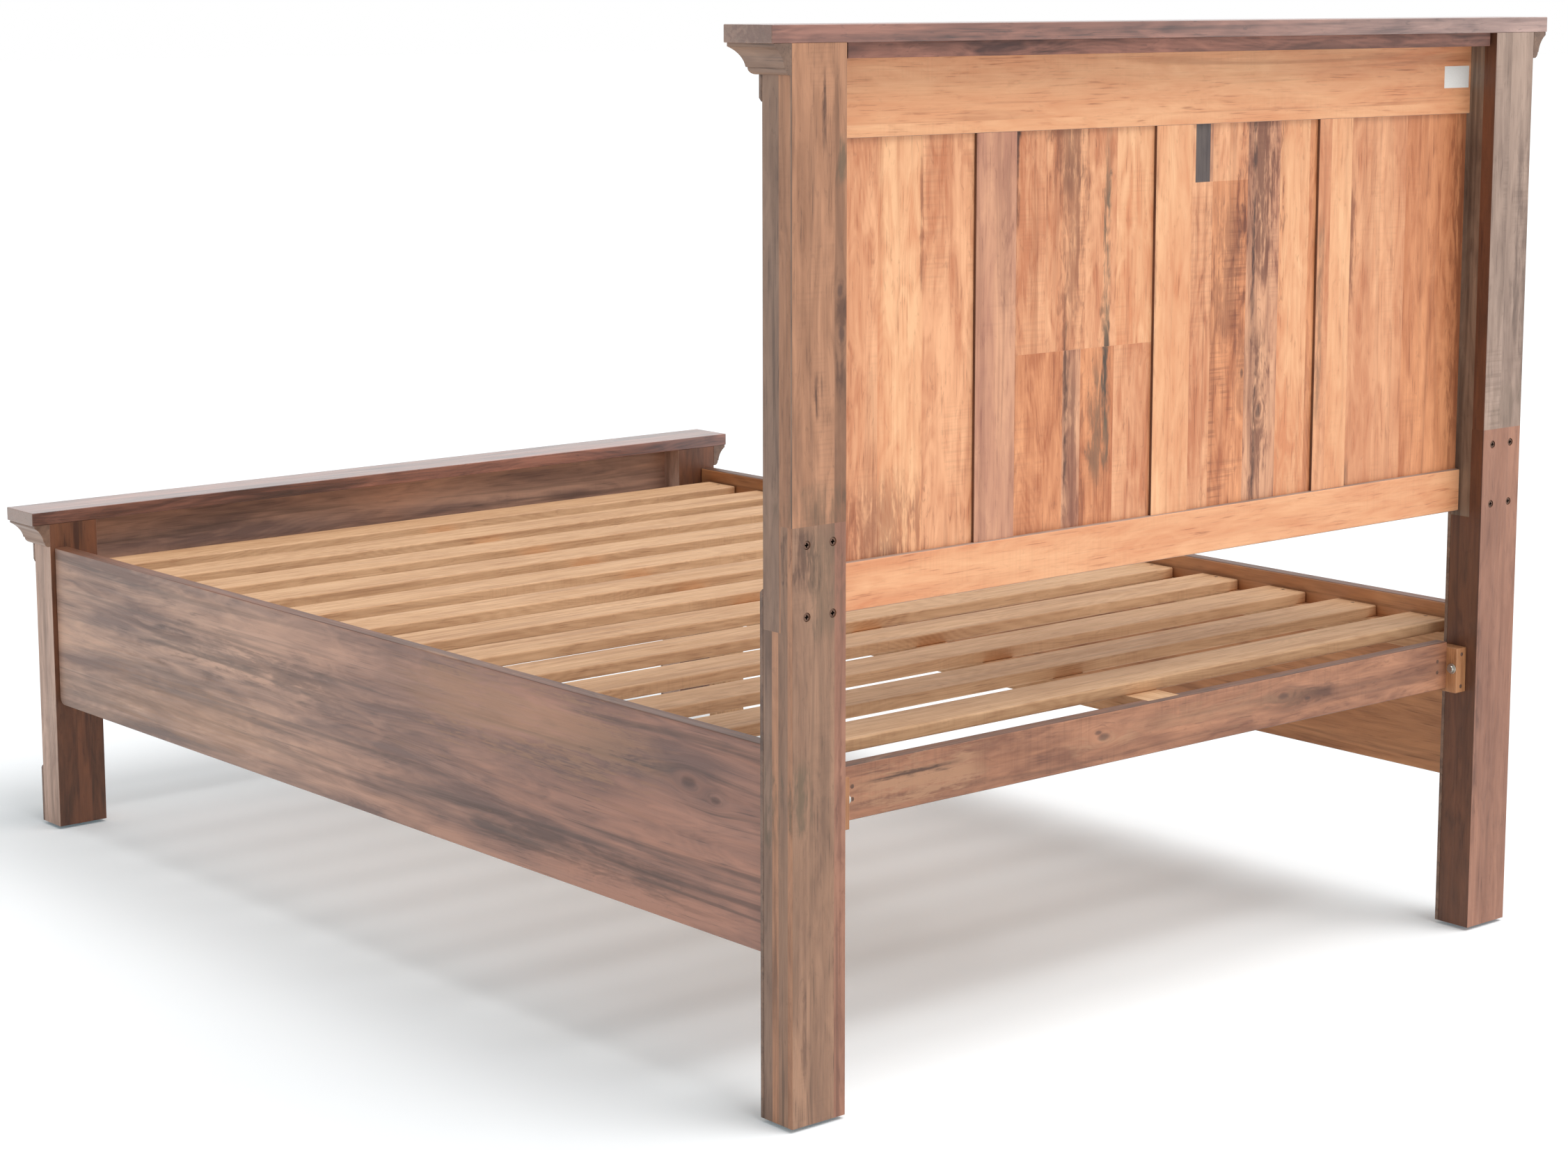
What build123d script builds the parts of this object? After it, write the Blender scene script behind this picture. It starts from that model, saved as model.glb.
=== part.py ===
"""A queen-size wooden bed frame with a panelled headboard and a low footboard.

Millimetres. +Z is up, +Y points to the head end, and +X is the left side seen from behind
the headboard. The origin is on the floor, under the middle of the frame.
"""

import os
from dataclasses import dataclass

from build123d import *

os.makedirs("parts", exist_ok=True)

# Posts
POST_OUT = 816                  # centre line to a post's outer face
POST_WIDE = 100
POST_DEEP = 64
POST_IN = POST_OUT - POST_WIDE
FACING = 6                      # boards applied to the posts' fronts
FRONT = POST_DEEP + FACING      # depth of the finished front plane, from the posts' backs
GLIDE_TALL = 6
EASE = 1.5                      # rounding of handled edges

# Ends of the bed
HEAD_BACK = 1150
FOOT_BACK = -1046
CAP_THICK = 25
CAP_HALF = 851
CAP_DEEP = 104
MITRE_OUT = 31                  # how far the crown stands out at its top
CROWN_TALL = 43

# Panel field
RAIL_BACK = 52                  # depths from the posts' backs
BOTTOM_RAIL_BACK = 49
MUNTIN_BACK = 53
MUNTIN_FRONT = 69
PANEL_BACK = 58
PANEL_FRONT = 64
MUNTIN_WIDE = 82
MUNTIN_PITCH = 378.5
GROOVE = 8
PANEL_BITE = 7                  # how far a panel's edge goes into a groove
TENON = 30
TENON_BACK = 53
TENON_FRONT = 60
BEVEL = 5

# Lap joint of the head posts
LAP_LOW = 724
LAP_HIGH = 875
LAP_TONGUE = 25
LAP_SCREW_X = (741, 789)
LAP_SCREW_Z = (747, 849)
SCREW_HEAD_R = 6.4
SCREW_SHANK_R = 2.4
SCREW_LONG = 52
HEAD_SUNK = 0.6
SCREW_HEAD_THICK = 3
CLEAR = 0.1

# Side rails and what they carry
RAIL_OUT = 807
RAIL_THICK = 28
RAIL_IN = RAIL_OUT - RAIL_THICK
RAIL_LOW = 248
RAIL_HIGH = 554
RAIL_END_R = 15
RAIL_HEAD_Y = HEAD_BACK - FRONT
RAIL_FOOT_Y = FOOT_BACK
LEDGER_WIDE = 30
LEDGER_TALL = 38
DECK = 508                      # top of the ledgers, cross rails and centre beam
SLAT_COUNT = 13
SLAT_WIDE = 90
SLAT_THICK = 20
SLAT_PITCH = 164
SLAT_HALF = 774
SLAT_SCREW_X = 764
SLAT_SCREW_R = 1.9
SLAT_HEAD_R = 4.2
SLAT_HEAD_THICK = 2.2
SLAT_SCREW_LONG = 36
SLAT_SUNK = 0.3

# Cross rails, centre beam and centre leg
CROSS_LOW = 426
CROSS_THICK = 25
HEAD_CROSS_BACK = 43
FOOT_CROSS_BACK = 20
CROSS_TENON = 15
BLOCK_THICK = 26
BLOCK_BACK = 21
BLOCK_LOW = 421
BLOCK_HIGH = 499
BOLT_DEPTH = 31                 # bolt's place, from the posts' backs
BOLT_Z = 463
BOLT_R = 4
BOLT_LONG = 70
WASHER_R = 9
WASHER_THICK = 1.6
BOLT_HEAD_R = 6.5
BOLT_HEAD_THICK = 5
BEAM_HALF = 35
BEAM_LOW = 476
BEAM_HOUSED = 12
LEG_HALF = 22.5
LEG_LOW = 30
LEG_Y = 0
LEG_DOWEL_R = 10
LEG_DOWEL_TALL = 20

# Levelling foot
PAD_R = 20
PAD_TALL = 9
STEM_R = 5
STEM_TOP = 62
STEM_BORE_TOP = 90

# Hook plates that join the side rails to the posts
PLATE_X = 793
PLATE_WIDE = 18
PLATE_THICK = 3
PLATE_Z = (330, 470)
HOOK_THICK = 4
HOOK_REACH = 12
HOOK_TOPS = (372, 452)
HOOK_TALL = 20
HOOK_NECK = 11
SLOT_SPARE = 1

# Small parts
GLIDE_R = 14
GLIDE_PIN_R = 1.8
GLIDE_PIN_TALL = 18
LABEL_X = (-711, -647)
LABEL_Z = (1449, 1485)
LABEL_THICK = 0.3
CLEAT_HALF = 708
CLEAT_LOW = 1518
CLEAT_BACK = 8


@dataclass
class End:
    """One end of the bed. Its posts' +Y faces lie at back, and heights are from the floor."""

    name: str
    back: float
    cap_low: float
    top_rail_low: float
    bottom_rail: tuple
    capital_low: float
    plinth_high: float

    def depth(self, near, far):
        """The Y span between two depths behind the posts' +Y faces."""
        return (self.back - far, self.back - near)


HEAD = End("head", HEAD_BACK, 1540, 1406, (732, 804), 1460, 781)
FOOT = End("foot", FOOT_BACK, 600, 470, (250, 332), 520, 117)


def block(x, y, z, mode=Mode.ADD):
    """Adds a box given as its spans along X, Y and Z to the open part, or cuts it away."""
    middle = [(low + high) / 2 for low, high in (x, y, z)]
    size = [abs(high - low) for low, high in (x, y, z)]
    with Locations(tuple(middle)):
        Box(*size, mode=mode)


def write(piece, name):
    """Labels a finished piece and writes it as a STEP file of that name."""
    piece.part.label = name
    export_step(piece.part, f"parts/{name}.step")


def write_pair(left, name):
    """Writes a left-hand piece and its mirror image on the right-hand side."""
    write(left, f"{name}_left")
    with BuildPart() as right:
        mirror(left.part, about=Plane.YZ)
    write(right, f"{name}_right")


def eased_board(piece, x, y, z):
    """Adds a board to the open part, piece, and lightly rounds all its edges."""
    block(x, y, z)
    fillet(piece.edges(), EASE)


def cut_mortises(end):
    """Cuts the left post's mortises for the top and bottom rails."""
    tenon_x = (POST_IN, POST_IN + TENON)
    tenon_y = end.depth(TENON_BACK, TENON_FRONT)
    for low, high in (top_tenon(end), bottom_tenon(end)):
        block(tenon_x, tenon_y, (low, high), Mode.SUBTRACT)


def top_tenon(end):
    """Height span of the top rail's tenon."""
    return (end.top_rail_low + 14, end.cap_low - 30)


def bottom_tenon(end):
    """Height span of the bottom rail's tenon."""
    return (end.bottom_rail[0] + 10, end.bottom_rail[1] - 12)


def cut_hook_pockets(face_y, outward):
    """Cuts the keeper plate's recess and the hooks' pockets in the face that a rail meets."""
    recess_x = (PLATE_X - PLATE_WIDE / 2, PLATE_X + PLATE_WIDE / 2)
    block(recess_x, (face_y, face_y + outward * PLATE_THICK), PLATE_Z, Mode.SUBTRACT)
    half = HOOK_THICK / 2 + SLOT_SPARE
    deep = face_y + outward * (HOOK_REACH + 2)
    for top in HOOK_TOPS:
        slot_z = (top - HOOK_TALL - SLOT_SPARE, top + SLOT_SPARE)
        block((PLATE_X - half, PLATE_X + half), (face_y, deep), slot_z, Mode.SUBTRACT)


def cut_glide_hole(end):
    """Cuts the pilot hole for a glide's pin in the foot of the left post."""
    with Locations((post_middle_x(), post_middle_y(end), GLIDE_TALL + GLIDE_PIN_TALL / 2)):
        Cylinder(GLIDE_PIN_R + CLEAR, GLIDE_PIN_TALL + 1, mode=Mode.SUBTRACT)


def post_middle_x():
    """X of the left posts' middle."""
    return POST_IN + POST_WIDE / 2


def post_middle_y(end):
    """Y of an end's posts' middle."""
    return end.back - POST_DEEP / 2


def lap_screw_places():
    """Places of the lap joint's screws on the back of the left head post."""
    return [(x, HEAD_BACK, z) for x in LAP_SCREW_X for z in LAP_SCREW_Z]


def cut_lap_screw_holes():
    """Cuts the screws' clearance holes and their heads' seats from the back of the post."""
    for x, y, z in lap_screw_places():
        with Locations(Location((x, y - SCREW_LONG / 2, z), (90, 0, 0))):
            Cylinder(SCREW_SHANK_R + CLEAR, SCREW_LONG + 2, mode=Mode.SUBTRACT)
        seat = HEAD_SUNK + SCREW_HEAD_THICK
        with Locations(Location((x, y - seat / 2, z), (90, 0, 0))):
            Cylinder(SCREW_HEAD_R + CLEAR, seat, mode=Mode.SUBTRACT)


def make_head_posts():
    """The head posts, each an upper post lapped and screwed to a lower leg."""
    post_x = (POST_IN, POST_OUT)
    post_y = HEAD.depth(0, POST_DEEP)
    front_cheek = HEAD.depth(LAP_TONGUE, POST_DEEP + 1)
    rear_tongue = HEAD.depth(-1, LAP_TONGUE)
    wide_x = (POST_IN - 1, POST_OUT + 1)

    with BuildPart() as upper:
        block(post_x, post_y, (LAP_LOW, HEAD.cap_low))
        fillet(upper.edges().filter_by(Axis.Z), EASE)
        block(wide_x, rear_tongue, (LAP_LOW - 1, LAP_HIGH), Mode.SUBTRACT)
        cut_mortises(HEAD)
        cut_lap_screw_holes()
    write_pair(upper, "head_post")

    with BuildPart() as leg:
        block(post_x, post_y, (GLIDE_TALL, LAP_HIGH))
        fillet(leg.edges().filter_by(Axis.Z), EASE)
        block(wide_x, front_cheek, (LAP_LOW, LAP_HIGH + 1), Mode.SUBTRACT)
        cut_lap_screw_holes()
        cut_glide_hole(HEAD)
        cut_hook_pockets(RAIL_HEAD_Y, 1)
        with Locations(Location((POST_IN, HEAD_BACK - BOLT_DEPTH, BOLT_Z), (0, 90, 0))):
            Cylinder(BOLT_R + CLEAR, 2 * (BOLT_LONG - BLOCK_THICK + 2), mode=Mode.SUBTRACT)
    write_pair(leg, "head_leg")

    with BuildPart() as screws:
        for x, y, z in lap_screw_places():
            head_y = y - HEAD_SUNK - SCREW_HEAD_THICK / 2
            with Locations(Location((x, head_y, z), (90, 0, 0))):
                Cylinder(SCREW_HEAD_R, SCREW_HEAD_THICK)
            shank = SCREW_LONG - HEAD_SUNK
            with Locations(Location((x, y - HEAD_SUNK - shank / 2, z), (90, 0, 0))):
                Cylinder(SCREW_SHANK_R, shank)
        mirror(about=Plane.YZ)
    write(screws, "lap_screws")


def make_foot_posts():
    """The foot posts, one piece each."""
    with BuildPart() as post:
        block((POST_IN, POST_OUT), FOOT.depth(0, POST_DEEP), (GLIDE_TALL, FOOT.cap_low))
        fillet(post.edges().filter_by(Axis.Z), EASE)
        cut_mortises(FOOT)
        cut_glide_hole(FOOT)
        cut_hook_pockets(RAIL_FOOT_Y, -1)
        tenon_z = (CROSS_LOW + 10, DECK - 10)
        tenon_y = FOOT.depth(FOOT_CROSS_BACK, FOOT_CROSS_BACK + CROSS_THICK)
        block((POST_IN, POST_IN + CROSS_TENON), tenon_y, tenon_z, Mode.SUBTRACT)
    write_pair(post, "foot_post")


def make_facings(end):
    """The thin plinth and capital boards on the fronts of an end's posts."""
    board_x = (POST_IN, POST_OUT)
    board_y = end.depth(POST_DEEP, FRONT)

    with BuildPart() as plinth:
        block(board_x, board_y, (GLIDE_TALL, end.plinth_high))
        top_edges = plinth.edges().filter_by(Axis.X).group_by(Axis.Z)[-1]
        chamfer(top_edges.sort_by(Axis.Y)[0], BEVEL)
        if end is HEAD:
            cut_hook_pockets(RAIL_HEAD_Y, 1)
    write_pair(plinth, f"{end.name}_plinth")

    with BuildPart() as capital:
        block(board_x, board_y, (end.capital_low, end.cap_low))
        low_edges = capital.edges().filter_by(Axis.X).group_by(Axis.Z)[0]
        chamfer(low_edges.sort_by(Axis.Y)[0], BEVEL)
    write_pair(capital, f"{end.name}_capital")


def crown_section():
    """The crown's section: X is outwards from the frame and Y is 0 at its top."""
    with BuildSketch() as section:
        with BuildLine():
            Polyline((4, -CROWN_TALL), (0, -CROWN_TALL), (0, 0), (MITRE_OUT, 0), (MITRE_OUT, -5))
            ThreePointArc((MITRE_OUT, -5), (18.5, -17.5), (13, -33))
            Line((13, -33), (11, -33.5))
            ThreePointArc((11, -33.5), (9, -40), (4, -CROWN_TALL))
        make_face()
    return section.sketch


def make_crown(end):
    """The crown under an end's cap: a front length and two returns, mitred at the corners."""
    section = crown_section()
    front_y = end.back - FRONT
    long_half = POST_OUT + MITRE_OUT + 1
    mitre_left = Plane(origin=(POST_OUT, front_y, end.cap_low), z_dir=(1, 1, 0))
    mitre_right = Plane(origin=(-POST_OUT, front_y, end.cap_low), z_dir=(-1, 1, 0))

    front_plane = Plane(origin=(0, front_y, end.cap_low), x_dir=(0, -1, 0), z_dir=(-1, 0, 0))
    with BuildPart() as front:
        with BuildSketch(front_plane):
            add(section)
        extrude(amount=long_half, both=True)
        split(bisect_by=mitre_left, keep=Keep.BOTTOM)
        split(bisect_by=mitre_right, keep=Keep.BOTTOM)
    write(front, f"{end.name}_crown_front")

    side_plane = Plane(origin=(POST_OUT, end.back, end.cap_low), x_dir=(1, 0, 0), z_dir=(0, -1, 0))
    with BuildPart() as side:
        with BuildSketch(side_plane):
            add(section)
        extrude(amount=FRONT + MITRE_OUT + 1)
        split(bisect_by=mitre_left, keep=Keep.TOP)
    write_pair(side, f"{end.name}_crown")


def make_cap(end):
    """The slab over an end's posts and crown."""
    with BuildPart() as cap:
        cap_z = (end.cap_low, end.cap_low + CAP_THICK)
        eased_board(cap, (-CAP_HALF, CAP_HALF), end.depth(0, CAP_DEEP), cap_z)
    write(cap, f"{end.name}_cap")


def make_rails(end):
    """The grooved and tenoned rails over and under an end's panels."""
    groove_y = end.depth(PANEL_BACK, PANEL_FRONT)
    rail_x = (-POST_IN, POST_IN)
    tenon_x = (-POST_IN - TENON + 1, POST_IN + TENON - 1)
    tenon_y = end.depth(TENON_BACK, TENON_FRONT)

    with BuildPart() as top:
        block(rail_x, end.depth(RAIL_BACK, FRONT), (end.top_rail_low, end.cap_low))
        fillet(top.edges().filter_by(Axis.X).group_by(Axis.Z)[0], EASE)
        groove_z = (end.top_rail_low - 1, end.top_rail_low + GROOVE)
        block(rail_x, groove_y, groove_z, Mode.SUBTRACT)
        block(tenon_x, tenon_y, top_tenon(end))
    write(top, f"{end.name}_top_rail")

    with BuildPart() as bottom:
        low, high = end.bottom_rail
        block(rail_x, end.depth(BOTTOM_RAIL_BACK, FRONT), (low, high))
        fillet(bottom.edges().filter_by(Axis.X), 2 * EASE)
        block(rail_x, groove_y, (high - GROOVE, high + 1), Mode.SUBTRACT)
        block(tenon_x, tenon_y, bottom_tenon(end))
    write(bottom, f"{end.name}_bottom_rail")


def make_muntins(end):
    """The uprights between an end's panels, grooved on both sides."""
    low = end.bottom_rail[1]
    high = end.top_rail_low
    muntin_y = end.depth(MUNTIN_BACK, MUNTIN_FRONT)
    groove_y = end.depth(PANEL_BACK, PANEL_FRONT)
    half = MUNTIN_WIDE / 2
    places = {"left": MUNTIN_PITCH, "centre": 0, "right": -MUNTIN_PITCH}
    for place, middle in places.items():
        with BuildPart() as muntin:
            block((middle - half, middle + half), muntin_y, (low, high))
            fillet(muntin.edges().filter_by(Axis.Z), EASE)
            for side in (-1, 1):
                edge = middle + side * half
                groove_x = (edge - side * GROOVE, edge + side)
                block(groove_x, groove_y, (low - 1, high + 1), Mode.SUBTRACT)
            tongue_x = (middle - half + GROOVE, middle + half - GROOVE)
            block(tongue_x, groove_y, (low - GROOVE, high + GROOVE))
        write(muntin, f"{end.name}_muntin_{place}")


def make_panels(end):
    """The four panels, held in the grooves of the rails and muntins and butted to the posts."""
    near = MUNTIN_WIDE / 2 - PANEL_BITE
    far = MUNTIN_PITCH - near
    edges = [
        (MUNTIN_PITCH + near, POST_IN),
        (near, far),
        (-far, -near),
        (-POST_IN, -MUNTIN_PITCH - near),
    ]
    panel_y = end.depth(PANEL_BACK, PANEL_FRONT)
    panel_z = (end.bottom_rail[1] - PANEL_BITE, end.top_rail_low + PANEL_BITE)
    for number, panel_x in enumerate(edges, start=1):
        with BuildPart() as panel:
            block(panel_x, panel_y, panel_z)
        write(panel, f"{end.name}_panel_{number}")


def make_cap_cleat():
    """The strip under the head cap, behind the top rail."""
    with BuildPart() as cleat:
        cleat_y = HEAD.depth(CLEAT_BACK, RAIL_BACK)
        block((-CLEAT_HALF, CLEAT_HALF), cleat_y, (CLEAT_LOW, HEAD.cap_low))
        fillet(cleat.edges().filter_by(Axis.X).group_by(Axis.Z)[0], EASE)
    write(cleat, "head_cap_cleat")


def make_label():
    """The blank paper label on the back of the head's top rail."""
    with BuildPart() as label:
        block(LABEL_X, HEAD.depth(RAIL_BACK - LABEL_THICK, RAIL_BACK), LABEL_Z)
    write(label, "rear_label")


def make_cross_rails():
    """The rails that carry the centre beam's ends, with the head one's end blocks and bolts."""
    beam_x = (-BEAM_HALF, BEAM_HALF)
    beam_z = (BEAM_LOW, DECK + 1)
    block_in = POST_IN - BLOCK_THICK
    head_front = HEAD_CROSS_BACK + CROSS_THICK

    with BuildPart() as head_cross:
        cross_y = HEAD.depth(HEAD_CROSS_BACK, head_front)
        block((-block_in, block_in), cross_y, (CROSS_LOW, DECK))
        fillet(head_cross.edges().filter_by(Axis.X), 2 * EASE)
        housing_y = HEAD.depth(head_front - BEAM_HOUSED, head_front + 1)
        block(beam_x, housing_y, beam_z, Mode.SUBTRACT)
    write(head_cross, "head_cross_rail")

    with BuildPart() as end_block:
        block_y = HEAD.depth(BLOCK_BACK, head_front)
        eased_board(end_block, (block_in, POST_IN), block_y, (BLOCK_LOW, BLOCK_HIGH))
        with Locations(Location((POST_IN, HEAD_BACK - BOLT_DEPTH, BOLT_Z), (0, 90, 0))):
            Cylinder(BOLT_R + CLEAR, 2 * BLOCK_THICK + 4, mode=Mode.SUBTRACT)
    write_pair(end_block, "cross_rail_block")

    with BuildPart() as bolts:
        parts = (
            (BOLT_HEAD_R, -WASHER_THICK - BOLT_HEAD_THICK, -WASHER_THICK),
            (WASHER_R, -WASHER_THICK, 0),
            (BOLT_R, 0, BOLT_LONG),
        )
        for radius, near, far in parts:
            middle_x = block_in + (near + far) / 2
            place = (middle_x, HEAD_BACK - BOLT_DEPTH, BOLT_Z)
            with Locations(Location(place, (0, 90, 0))):
                Cylinder(radius, far - near)
        fillet(bolts.edges().filter_by(GeomType.CIRCLE).sort_by(Axis.X)[0], 2)
        mirror(about=Plane.YZ)
    write(bolts, "cross_rail_bolts")

    with BuildPart() as foot_cross:
        foot_front = FOOT_CROSS_BACK + CROSS_THICK
        cross_y = FOOT.depth(FOOT_CROSS_BACK, foot_front)
        block((-POST_IN, POST_IN), cross_y, (CROSS_LOW, DECK))
        fillet(foot_cross.edges().filter_by(Axis.X), 2 * EASE)
        tenon_x = (-POST_IN - CROSS_TENON, POST_IN + CROSS_TENON)
        block(tenon_x, cross_y, (CROSS_LOW + 10, DECK - 10))
        housing_y = FOOT.depth(FOOT_CROSS_BACK - 1, FOOT_CROSS_BACK + BEAM_HOUSED)
        block(beam_x, housing_y, beam_z, Mode.SUBTRACT)
    write(foot_cross, "foot_cross_rail")


def make_side_rails():
    """The deep side rails, with their ledgers and the hook plates let into their ends."""
    recess_x = (PLATE_X - PLATE_WIDE / 2, PLATE_X + PLATE_WIDE / 2)
    with BuildPart() as rail:
        block((RAIL_IN, RAIL_OUT), (RAIL_FOOT_Y, RAIL_HEAD_Y), (RAIL_LOW, RAIL_HIGH))
        fillet(rail.edges().filter_by(Axis.X).group_by(Axis.Z)[0], RAIL_END_R)
        fillet(rail.faces().sort_by(Axis.X)[-1].edges().filter_by(Axis.Y), 2 * EASE)
        fillet(rail.faces().sort_by(Axis.X)[0].edges().filter_by(Axis.Y), 2 * EASE)
        for end_y, inward in ((RAIL_HEAD_Y, -1), (RAIL_FOOT_Y, 1)):
            recess_y = (end_y + inward * PLATE_THICK, end_y)
            block(recess_x, recess_y, PLATE_Z, Mode.SUBTRACT)
    write_pair(rail, "side_rail")

    with BuildPart() as ledger:
        ledger_y = (RAIL_FOOT_Y + 20, RAIL_HEAD_Y - 20)
        ledger_x = (RAIL_IN - LEDGER_WIDE, RAIL_IN)
        eased_board(ledger, ledger_x, ledger_y, (DECK - LEDGER_TALL, DECK))
        with Locations((SLAT_SCREW_X, slat_middle_y(), DECK)):
            with GridLocations(1, SLAT_PITCH, 1, SLAT_COUNT):
                Cylinder(SLAT_SCREW_R + CLEAR, 2 * (SLAT_SCREW_LONG - SLAT_THICK) + 4,
                         mode=Mode.SUBTRACT)
    write_pair(ledger, "ledger")

    with BuildPart() as hook_plates:
        for end_y, outward in ((RAIL_HEAD_Y, 1), (RAIL_FOOT_Y, -1)):
            block(recess_x, (end_y - outward * PLATE_THICK, end_y), PLATE_Z)
            half = HOOK_THICK / 2
            reach = end_y + outward * HOOK_REACH
            for top in HOOK_TOPS:
                hook_x = (PLATE_X - half, PLATE_X + half)
                block(hook_x, (end_y, reach), (top - HOOK_NECK, top))
                nose = reach - outward * HOOK_REACH / 2
                block(hook_x, (nose, reach), (top - HOOK_TALL, top))
        mirror(about=Plane.YZ)
    write(hook_plates, "rail_hook_plates")

    with BuildPart() as keepers:
        for face_y, outward in ((RAIL_HEAD_Y, 1), (RAIL_FOOT_Y, -1)):
            block(recess_x, (face_y, face_y + outward * PLATE_THICK), PLATE_Z)
            half = HOOK_THICK / 2 + SLOT_SPARE / 2
            for top in HOOK_TOPS:
                slot_z = (top - HOOK_TALL - SLOT_SPARE / 2, top + SLOT_SPARE / 2)
                slot_y = (face_y - 1, face_y + outward * (PLATE_THICK + 1))
                if outward < 0:
                    slot_y = (face_y + 1, face_y - PLATE_THICK - 1)
                block((PLATE_X - half, PLATE_X + half), slot_y, slot_z, Mode.SUBTRACT)
        mirror(about=Plane.YZ)
    write(keepers, "post_keeper_plates")


def slat_middle_y():
    """Y of the middle of the row of slats."""
    return (RAIL_HEAD_Y + RAIL_FOOT_Y) / 2


def make_slats():
    """The slats and the screws that hold their ends to the ledgers."""
    with BuildPart() as slats:
        with Locations((0, slat_middle_y(), DECK + SLAT_THICK / 2)):
            with GridLocations(1, SLAT_PITCH, 1, SLAT_COUNT):
                Box(2 * SLAT_HALF, SLAT_WIDE, SLAT_THICK)
        fillet(slats.edges().filter_by(Axis.X), 2 * EASE)
        with Locations((0, slat_middle_y(), DECK + SLAT_THICK)):
            with GridLocations(2 * SLAT_SCREW_X, SLAT_PITCH, 2, SLAT_COUNT):
                CounterSinkHole(SLAT_SCREW_R + CLEAR, SLAT_HEAD_R + CLEAR, SLAT_THICK + 1)
    write(slats, "slats")

    with BuildPart() as screws:
        with BuildSketch(Plane.XZ) as outline:
            with BuildLine():
                Polyline(
                    (0, 0),
                    (SLAT_HEAD_R - SLAT_SUNK, 0),
                    (SLAT_SCREW_R, -SLAT_HEAD_THICK),
                    (SLAT_SCREW_R, -SLAT_SCREW_LONG + 3),
                    (0, -SLAT_SCREW_LONG),
                    close=True,
                )
            make_face()
        one = revolve(outline.sketch, axis=Axis.Z, mode=Mode.PRIVATE)
        with Locations((0, slat_middle_y(), DECK + SLAT_THICK - SLAT_SUNK)):
            with GridLocations(2 * SLAT_SCREW_X, SLAT_PITCH, 2, SLAT_COUNT):
                add(one)
    write(screws, "slat_screws")


def make_centre_support():
    """The centre beam, its leg and the levelling foot that screws into the leg."""
    with BuildPart() as beam:
        head_y = HEAD_BACK - HEAD_CROSS_BACK - CROSS_THICK + BEAM_HOUSED
        foot_y = FOOT_BACK - FOOT_CROSS_BACK - BEAM_HOUSED
        block((-BEAM_HALF, BEAM_HALF), (foot_y, head_y), (BEAM_LOW, DECK))
        with Locations((0, LEG_Y, BEAM_LOW + LEG_DOWEL_TALL / 2)):
            Cylinder(LEG_DOWEL_R + CLEAR, LEG_DOWEL_TALL + 2, mode=Mode.SUBTRACT)
    write(beam, "centre_beam")

    with BuildPart() as leg:
        leg_y = (LEG_Y - LEG_HALF, LEG_Y + LEG_HALF)
        eased_board(leg, (-LEG_HALF, LEG_HALF), leg_y, (LEG_LOW, BEAM_LOW))
        with Locations((0, LEG_Y, BEAM_LOW + LEG_DOWEL_TALL / 2)):
            Cylinder(LEG_DOWEL_R, LEG_DOWEL_TALL)
        with Locations((0, LEG_Y, (LEG_LOW + STEM_BORE_TOP) / 2)):
            Cylinder(STEM_R + CLEAR, STEM_BORE_TOP - LEG_LOW, mode=Mode.SUBTRACT)
    write(leg, "centre_leg")

    with BuildPart() as foot:
        with Locations((0, LEG_Y, PAD_TALL / 2)):
            Cylinder(PAD_R, PAD_TALL)
        fillet(foot.edges().sort_by(Axis.Z)[-1], 4)
        fillet(foot.edges().sort_by(Axis.Z)[0], 1)
        with Locations((0, LEG_Y, (PAD_TALL + STEM_TOP) / 2)):
            Cylinder(STEM_R, STEM_TOP - PAD_TALL)
    write(foot, "levelling_foot")


def make_glides():
    """The nail-on glides under the four posts."""
    with BuildPart() as glides:
        for end in (HEAD, FOOT):
            x = post_middle_x()
            y = post_middle_y(end)
            with Locations((x, y, GLIDE_TALL / 2)):
                Cylinder(GLIDE_R, GLIDE_TALL)
            with Locations((x, y, GLIDE_TALL + GLIDE_PIN_TALL / 2 - 1)):
                Cylinder(GLIDE_PIN_R, GLIDE_PIN_TALL - 2)
        fillet(glides.edges().group_by(Axis.Z)[0], 1.5)
        mirror(about=Plane.YZ)
    write(glides, "leg_glides")


make_head_posts()
make_foot_posts()
for bed_end in (HEAD, FOOT):
    make_facings(bed_end)
    make_crown(bed_end)
    make_cap(bed_end)
    make_rails(bed_end)
    make_muntins(bed_end)
    make_panels(bed_end)
make_cap_cleat()
make_label()
make_cross_rails()
make_side_rails()
make_slats()
make_centre_support()
make_glides()
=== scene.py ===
"""A queen-size wooden bed frame in a plain white studio.

The frame's boards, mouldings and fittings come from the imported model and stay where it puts
them. This script gives every board its own cut of wood, stands finely made screws, bolts and
a levelling foot in for the plain ones, and sets up a floor, soft lights and a camera.
"""

import logging
import math
from collections.abc import Callable
from dataclasses import dataclass
from enum import Enum

import bmesh
import bpy
from mathutils import Matrix, Vector


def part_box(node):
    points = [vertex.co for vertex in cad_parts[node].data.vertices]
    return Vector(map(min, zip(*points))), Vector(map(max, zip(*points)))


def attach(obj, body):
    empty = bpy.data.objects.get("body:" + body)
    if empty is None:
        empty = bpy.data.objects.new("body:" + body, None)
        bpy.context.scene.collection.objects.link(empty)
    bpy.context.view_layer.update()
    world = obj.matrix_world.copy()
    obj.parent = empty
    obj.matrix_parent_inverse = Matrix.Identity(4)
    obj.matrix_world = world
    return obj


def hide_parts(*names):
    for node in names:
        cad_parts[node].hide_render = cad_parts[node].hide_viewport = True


log = logging.getLogger("bed_frame")

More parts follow.
